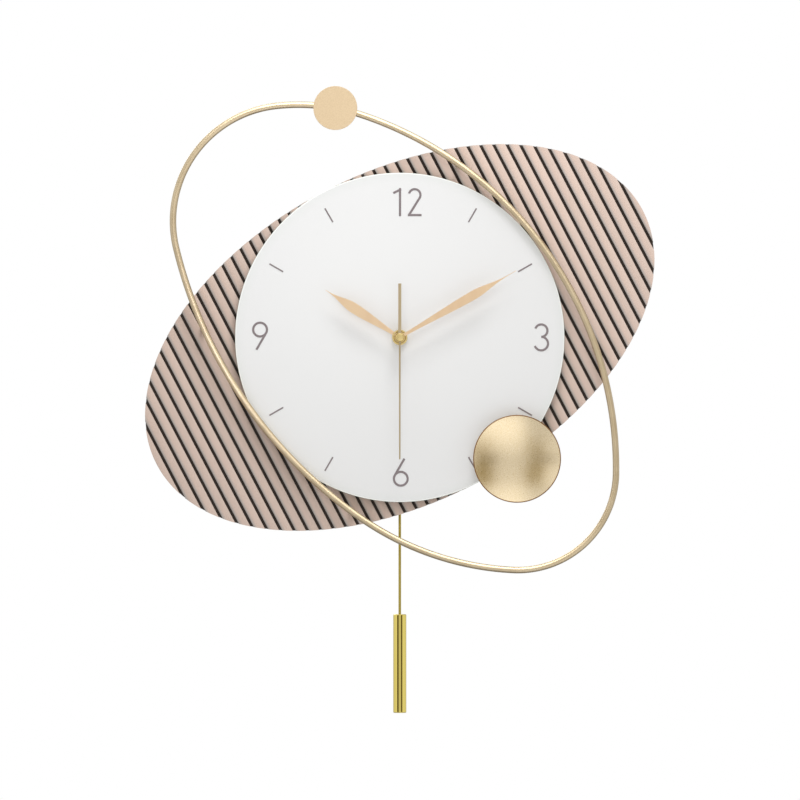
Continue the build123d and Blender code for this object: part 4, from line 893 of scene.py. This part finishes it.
def hand(node, body, parts):
    """Join a hand's parts, lift it to its height and turn it to its hour."""
    if not parts[0].data.materials:
        paint(parts[0], finishes["hand_gold"])
    piece = joined(body + "_blade", parts)
    turn = (0.0, radians(HAND_ANGLE[body]), 0.0)
    settle(piece, at(0, 0, HAND_OUT[body] + HAND_THICK), turn, CRISP)
    return dressed(piece, node, body)


hour_blade = blade(length=80.0, root=1.5, belly=4.75, belly_at=50.0, taper=1.2)
hour_eye = eye(hub=7.0, bore=2.53, collet=4.1, rim=1.5)
hour_hand = hand("hour_hand", "hour", [hour_blade, hour_eye])
minute_blade = blade(length=122.0, root=1.35, belly=4.15, belly_at=78.0, taper=1.8)
minute_eye = eye(hub=4.8, bore=1.63, collet=3.2, rim=0.9)
minute_hand = hand("minute_hand", "minute", [minute_blade, minute_eye])

# %% [markdown]
# ## Second hand and cap
# The second hand is a needle with a thicker tail. Both are thin bars: a cube is drawn out, the
# needle's end is pinched, and the edges are bevelled until the bar looks round. A low turned cap
# closes the hub in front of it.

# %% Second hand and cap
BAR_ROUND = 0.22
CAP_RADIUS, CAP_HEIGHT, CAP_ROUND = 3.7, 1.5, 0.25
CAP_SIDE = CAP_HEIGHT * 0.6
CAP_SHOULDER = (CAP_RADIUS * 0.8, CAP_HEIGHT * 0.92)


def bar(name, end, half_start, half_end):
    """A slim bar along Z from the hub to its end, with its own half width at each end."""
    fresh()
    bpy.ops.mesh.primitive_cube_add(size=1.0, location=(0.0, HAND_THICK / 2 * MM, end / 2 * MM))
    piece = bpy.context.object
    piece.name = name
    piece.scale = (2 * half_start * MM, HAND_THICK * MM, abs(end) * MM)
    apply_place()
    edit()
    pick(lambda point: abs(point.z - end * MM) < TOUCHING)
    bpy.ops.transform.resize(value=(half_end / half_start, 1.0, 1.0))
    soften(BAR_ROUND)
    return settle(piece)


needle = bar("needle", end=111.0, half_start=0.85, half_end=0.65)
tail = bar("tail", end=-49.0, half_start=1.4, half_end=1.4)
paint(needle, needle_gold)
paint(tail, tail_gold)
second_eye = eye(hub=3.7, bore=0.63, collet=2.2, rim=1.2)
hand("second_hand", "second", [needle, tail, second_eye])
cap = turned("centre_cap", [
    (0.0, 0.0), (CAP_RADIUS, 0.0), (CAP_RADIUS, CAP_SIDE), CAP_SHOULDER, (0.0, CAP_HEIGHT)], steps=64)
soften(CAP_ROUND, sharper_than=20.0)
settle(cap, at(0, 0, HAND_OUT["second"] + HAND_THICK), FACING_FRONT)
paint(cap, eye_brass)
dressed(cap, "hub_cap", "second")

# %% [markdown]
# ## Bob
# The bob is a polished tube with a plug in each end, turned about the rod's own line. The tube's
# rounding takes up its whole wall, so it is drawn into the profile, because a bevel as wide as the
# wall would fold over itself. It starts at the bore, so its first point is left out.

# %% Bob
ROD_OUT, ROD_RADIUS = 12.0, 1.2
BOB_TOP, BOB_LENGTH, BOB_RADIUS, BOB_BORE = -252.8, 90.0, 6.0, 5.2
BOB_ROUND, ROUND_STEPS = 0.8, 6
PLUG_RADIUS, PLUG_LENGTH, PLUG_FIT, PLUG_ROUND = 5.17, 6.0, 0.03, 0.3
bob_low = BOB_TOP - BOB_LENGTH


def rounded_corner(y, way):
    """Points of the bob's rounded corner at a height y, from its flat end to its side."""
    points = []
    for step in range(ROUND_STEPS + 1):
        swing = pi / 2 * step / ROUND_STEPS
        points.append((BOB_RADIUS - BOB_ROUND * (1 - sin(swing)), y - way * BOB_ROUND * (1 - cos(swing))))
    return points


low_corner = rounded_corner(0.0, -1.0)
high_corner = rounded_corner(BOB_LENGTH, 1.0)
tube = turned("bob_shell", [
    (BOB_BORE, 0.0), *low_corner[1:], *high_corner[:0:-1], (BOB_BORE, BOB_LENGTH), (BOB_BORE, 0.0)])
settle(tube, at(0, bob_low, ROD_OUT))
dressed(tube, "bob_tube", "pendulum")
upper = turned("plug", ring_profile(ROD_RADIUS + PLUG_FIT, PLUG_RADIUS, 0.0, PLUG_LENGTH), steps=64)
soften(PLUG_ROUND)
settle(upper, at(0, BOB_TOP - PLUG_LENGTH, ROD_OUT))
lower = turned("plug", rod_profile(PLUG_RADIUS, 0.0, PLUG_LENGTH), steps=64)
soften(PLUG_ROUND)
settle(lower, at(0, bob_low, ROD_OUT))
dressed(joined("bob_plugs", [upper, lower]), "bob_caps", "pendulum")

# %% [markdown]
# ## Rod
# The thin rod hangs by an eye from the peg of the swing arm behind the panel. Rod and eye are turned
# apart and joined, because the real rod ends in that eye.

# %% Rod
ROD_BITE, ROD_ROUND = 12.0, 0.2
PEG_Y, ROD_TOP_BELOW_PEG = -89.5, 3.0
RING_BORE, RING_RADIUS, RING_HALF, RING_ROUND = 1.53, 4.0, 1.0, 0.3
rod = turned("rod", rod_profile(ROD_RADIUS, BOB_TOP - ROD_BITE, PEG_Y - ROD_TOP_BELOW_PEG), steps=32)
soften(ROD_ROUND, segments=2)
settle(rod, at(0, 0, ROD_OUT))
ring = turned("ring", ring_profile(RING_BORE, RING_RADIUS, -RING_HALF, RING_HALF), steps=48)
soften(RING_ROUND)
settle(ring, at(0, PEG_Y, ROD_OUT), FACING_FRONT)
hanging_rod = joined("hanging_rod", [rod, ring])
paint(hanging_rod, drawn_brass)
dressed(hanging_rod, "pendulum_rod", "pendulum")

# %% [markdown]
# ## Pieces behind the panel
# The hanger, the movement's case, the stand-offs, the arm of the dish and the fasteners have the right
# shape in the CAD model already, down to the crosses in the screw heads. What they lack is a broken
# edge. Modelling them anew would only repeat the CAD, so each is copied. A CAD mesh is loose triangles,
# so the copy's doubles are merged, its flat triangles are dissolved into whole faces, and then its
# sharp edges are bevelled.

# %% Pieces behind the panel
FLAT_WITHIN = 1.0
EDGE_BREAKS = {
    "hanger_plate": 0.25, "hanger_blocks": 0.5, "hanger_screws": 0.1, "standoff_posts": 0.5,
    "standoff_feet": 0.6, "movement_case": 0.4, "movement_cover": 0.4, "case_screws": 0.15,
    "set_knob": 0.15, "battery": 0.5, "swing_arm": 0.3, "bowl_arm": 0.3, "bowl_arm_screws": 0.2,
    "bowl_post": 0.3, "bowl_post_screw": 0.2, "loop_sleeves": 0.2, "loop_washers": 0.15,
    "loop_nuts": 0.2, "dial_washer": 0.15, "dial_nut": 0.3}
bodies = frame["record"]["behaviour"]["bodies"]
body_of = {node: body for body, nodes in bodies.items() for node in nodes}


def eased(node, width):
    """A merged copy of a CAD node, with its sharp edges broken."""
    piece = bpy.data.objects.new(node + "_eased", frame["nodes"][node].data.copy())
    bpy.context.scene.collection.objects.link(piece)
    choose(piece)
    edit()
    close_up()
    bpy.ops.mesh.dissolve_limited(angle_limit=radians(FLAT_WITHIN))
    soften(width, segments=2, sharper_than=40.0, keep_apart=True)
    settle(piece, smooth=CRISP)
    dressed(piece, node, body_of[node])


for node, width in EDGE_BREAKS.items():
    eased(node, width)

# %% [markdown]
# ## Studio
# The photograph has no wall and no horizon: the clock floats on white. The reflections in the bob
# and the dish tell how the studio stood: a bright front, a dark gap at either side of it, and white
# walls beyond. Such a room could be built of planes, but the world can paint it by direction: a ramp
# gives the light at each angle round about.

# %% Light by direction
DAYLIGHT = (0.988, 1.0, 1.02)
world = bpy.data.worlds.new("studio")
bpy.context.scene.world = world
world.use_nodes = True
tree = world.node_tree
tree.nodes.clear()
direction = tree.nodes.new("ShaderNodeSeparateXYZ")
tree.links.new(tree.nodes.new("ShaderNodeTexCoord").outputs["Generated"], direction.inputs["Vector"])
height = direction.outputs["Z"]
to_front = worked(world, "MULTIPLY", direction.outputs["Y"], -1.0)
round_about = worked(world, "ARCTAN2", direction.outputs["X"], to_front)


def by_angle(levels):
    """Light round about, from pairs: degrees to the right of the front, and brightness or colour."""
    round_share = worked(world, "MULTIPLY_ADD", round_about, 1 / (2 * pi), 0.5)
    stops = []
    for angle, level in levels:
        tone = level if isinstance(level, tuple) else [level * part for part in DAYLIGHT]
        stops.append((0.5 + angle / 360.0, (*tone, 1.0)))
    return ramp(world, round_share, stops)


print("studio:", world.name)

# %% [markdown]
# The bob shows the room at eye level and the dish shows it higher and lower, so the room has several
# rings: the horizon with deep gaps, the walls with softer ones, a ceiling and a ground, and one even
# level straight above and straight below.

# %% Rings of the studio
GAP, DEEP_GAP = (0.30, 0.21, 0.01), (0.09, 0.06, 0.0)
ZENITH_LEVEL, NADIR_LEVEL = 1.9, 0.35
walls = by_angle([
    (-180, 0.6), (-110, 1.0), (-34, 1.3), (-27, GAP), (-13, GAP), (-7, 1.0),
    (26, 1.0), (32, GAP), (50, GAP), (56, 0.95), (110, 0.9), (180, 0.6)])
horizon = by_angle([
    (-180, 0.6), (-110, 1.0), (-49, 1.15), (-46, DEEP_GAP), (-22, DEEP_GAP), (-19, 0.82),
    (20, 0.82), (23, DEEP_GAP), (45, DEEP_GAP), (48, 1.1), (110, 1.05), (180, 0.6)])
ceiling = by_angle([
    (-180, 0.7), (-60, 0.8), (-36, 0.95), (-16, 0.95), (-6, 1.4), (40, 1.4), (60, 0.8), (180, 0.7)])
ground = by_angle([
    (-180, 0.4), (-90, 0.4), (-50, 0.9), (-30, 0.8), (-14, 0.9), (-4, 1.6), (40, 1.6), (90, 0.6),
    (180, 0.4)])
zenith = by_angle([(-180, ZENITH_LEVEL), (180, ZENITH_LEVEL)])
nadir = by_angle([(-180, NADIR_LEVEL), (180, NADIR_LEVEL)])
print("nodes for the rings:", len(tree.nodes))

# %% [markdown]
# The rings are mixed by height, each over a band in which one gives way to the next. Every ray but
# the camera's meets this studio. The camera alone sees plain white, as in the photograph.

# %% Mix the rings
HORIZON_BAND, CEILING_BAND, GROUND_BAND = (0.03, 0.09), (0.42, 0.57), (0.05, -0.62)
ZENITH_BAND, NADIR_BAND = (0.76, 0.92), (-0.74, -0.92)
FIRST_COLOUR, SECOND_COLOUR, MIXED_COLOUR = 6, 7, 2
STUDIO_STRENGTH = 0.82


def give_way(value, band, first, second):
    """Mix two rings: the first before the band, the second after it, smoothly between."""
    rise = tree.nodes.new("ShaderNodeMapRange")
    rise.interpolation_type = "SMOOTHSTEP"
    rise.inputs["From Min"].default_value, rise.inputs["From Max"].default_value = band
    tree.links.new(value, rise.inputs["Value"])
    mix = tree.nodes.new("ShaderNodeMix")
    mix.data_type = "RGBA"
    tree.links.new(rise.outputs["Result"], mix.inputs["Factor"])
    tree.links.new(first, mix.inputs[FIRST_COLOUR])
    tree.links.new(second, mix.inputs[SECOND_COLOUR])
    return mix.outputs[MIXED_COLOUR]


surround = give_way(worked(world, "ABSOLUTE", height), HORIZON_BAND, horizon, walls)
surround = give_way(height, CEILING_BAND, surround, ceiling)
surround = give_way(height, GROUND_BAND, surround, ground)
surround = give_way(height, ZENITH_BAND, surround, zenith)
surround = give_way(height, NADIR_BAND, surround, nadir)
studio = tree.nodes.new("ShaderNodeBackground")
tree.links.new(surround, studio.inputs["Color"])
studio.inputs["Strength"].default_value = STUDIO_STRENGTH
plain = tree.nodes.new("ShaderNodeBackground")
plain.inputs["Color"].default_value = (1.0, 1.0, 1.0, 1.0)
choice = tree.nodes.new("ShaderNodeMixShader")
tree.links.new(tree.nodes.new("ShaderNodeLightPath").outputs["Is Camera Ray"], choice.inputs["Fac"])
tree.links.new(studio.outputs["Background"], choice.inputs[1])
tree.links.new(plain.outputs["Background"], choice.inputs[2])
output = tree.nodes.new("ShaderNodeOutputWorld")
tree.links.new(choice.outputs["Shader"], output.inputs["Surface"])
print("studio nodes:", len(tree.nodes))

# %% [markdown]
# ## Lamps
# One soft lamp above, a little to the right, draws the shadows. It isn't reflected, because the
# studio already paints the reflections. The other lamps in front are kept to some pieces, as with a
# photographer's flags: a sheen on the gold, a streak along the wire and a cooler one on its left side,
# a glow on the dial's middle and a wash over the slats. The last lamp lights the back.

# %% Lamps
def lamp(name, place, aim, size, power, gloss=True, matt=True, only=()):
    """A soft lamp that the camera doesn't see, with light for gloss, for matt faces or for both."""
    data = bpy.data.lights.new(name, "AREA")
    data.shape = "RECTANGLE"
    data.size, data.size_y = size
    data.energy = power
    holder = bpy.data.objects.new(name, data)
    bpy.context.scene.collection.objects.link(holder)
    holder.location = place
    holder.rotation_euler = (Vector(aim) - Vector(place)).to_track_quat("-Z", "Y").to_euler()
    holder.visible_camera = False
    holder.visible_glossy = gloss
    holder.visible_diffuse = matt
    if only:
        lit = bpy.data.collections.new(name + "_only")
        for piece in only:
            lit.objects.link(piece)
        holder.light_linking.receiver_collection = lit
    return holder


lamp("overhead", (0.16, -0.55, 1.0), aim=(0.0, -0.05, -0.12), size=(0.40, 0.30), power=5.6, gloss=False)
lamp("sheen", (0.42, -1.1, 0.5), aim=(0.0, 0.0, -0.10), size=(0.5, 0.5), power=1.4, matt=False,
     only=[wire, disc, hour_hand, minute_hand])
lamp("streak", (0.05, -0.72, 0.95), aim=(0.0, -0.05, -0.12), size=(1.2, 0.7), power=13.0, matt=False,
     only=[wire])
side = lamp("side", (-0.16, -0.22, -0.11), aim=(-0.17, -0.05, -0.09), size=(0.08, 0.12), power=0.10,
            matt=False, only=[wire])
side.data.color = (0.86, 0.85, 1.0)
lamp("glow", (-0.05, -0.32, 0.0), aim=(-0.04, 0.0, -0.05), size=(0.12, 0.12), power=0.13, gloss=False,
     only=[dial])
lamp("wash", (0.12, -0.45, 0.26), aim=(0.06, -0.04, -0.05), size=(0.30, 0.20), power=0.72, gloss=False,
     only=[slats])
lamp("behind", (-0.8, 1.8, 0.9), aim=(0.0, 0.0, -0.15), size=(1.2, 1.2), power=14.0)
print("lamps:", [light.name for light in bpy.data.lights])

# %% [markdown]
# ## Floor and camera
# The clock hangs on a wall, so the pale floor lies well below it, under the picture's lower edge, and
# shows only in views from above. It isn't reflected, because the studio has a ground of its own. The
# photograph has next to no perspective, so the camera stands far away with a long lens.

# %% Floor and camera
FLOOR_PLACE, FLOOR_SIZE = (0.0, -0.2, -1.5), (3.0, 2.4, 1.0)
FRAME_WIDTH, FRAME_MIDDLE = 0.7286, (0.2, -57.0)
CAMERA_AWAY = 10.0
fresh()
bpy.ops.mesh.primitive_plane_add(size=1.0, location=FLOOR_PLACE)
floor = bpy.context.object
floor.name = "floor"
floor.scale = FLOOR_SIZE
apply_place()
paint(floor, mottled(
    "pale_floor", (226, 225, 223), (232, 231, 229), gloss=(0.6, 0.7), scale=3, grain=60, relief=0.1))
floor.visible_glossy = False

camera_data = bpy.data.cameras.new("camera")
camera_data.sensor_width = 36.0
camera_data.lens = camera_data.sensor_width * CAMERA_AWAY / FRAME_WIDTH
camera = bpy.data.objects.new("camera", camera_data)
bpy.context.scene.collection.objects.link(camera)
camera.location = at(*FRAME_MIDDLE, DIAL_FRONT) + Vector((0.0, -CAMERA_AWAY, 0.0))
camera.rotation_euler = FACING_FRONT
bpy.context.scene.camera = camera
bpy.context.scene.view_settings.view_transform = "Standard"
print("lens:", round(camera_data.lens, 1), "mm")
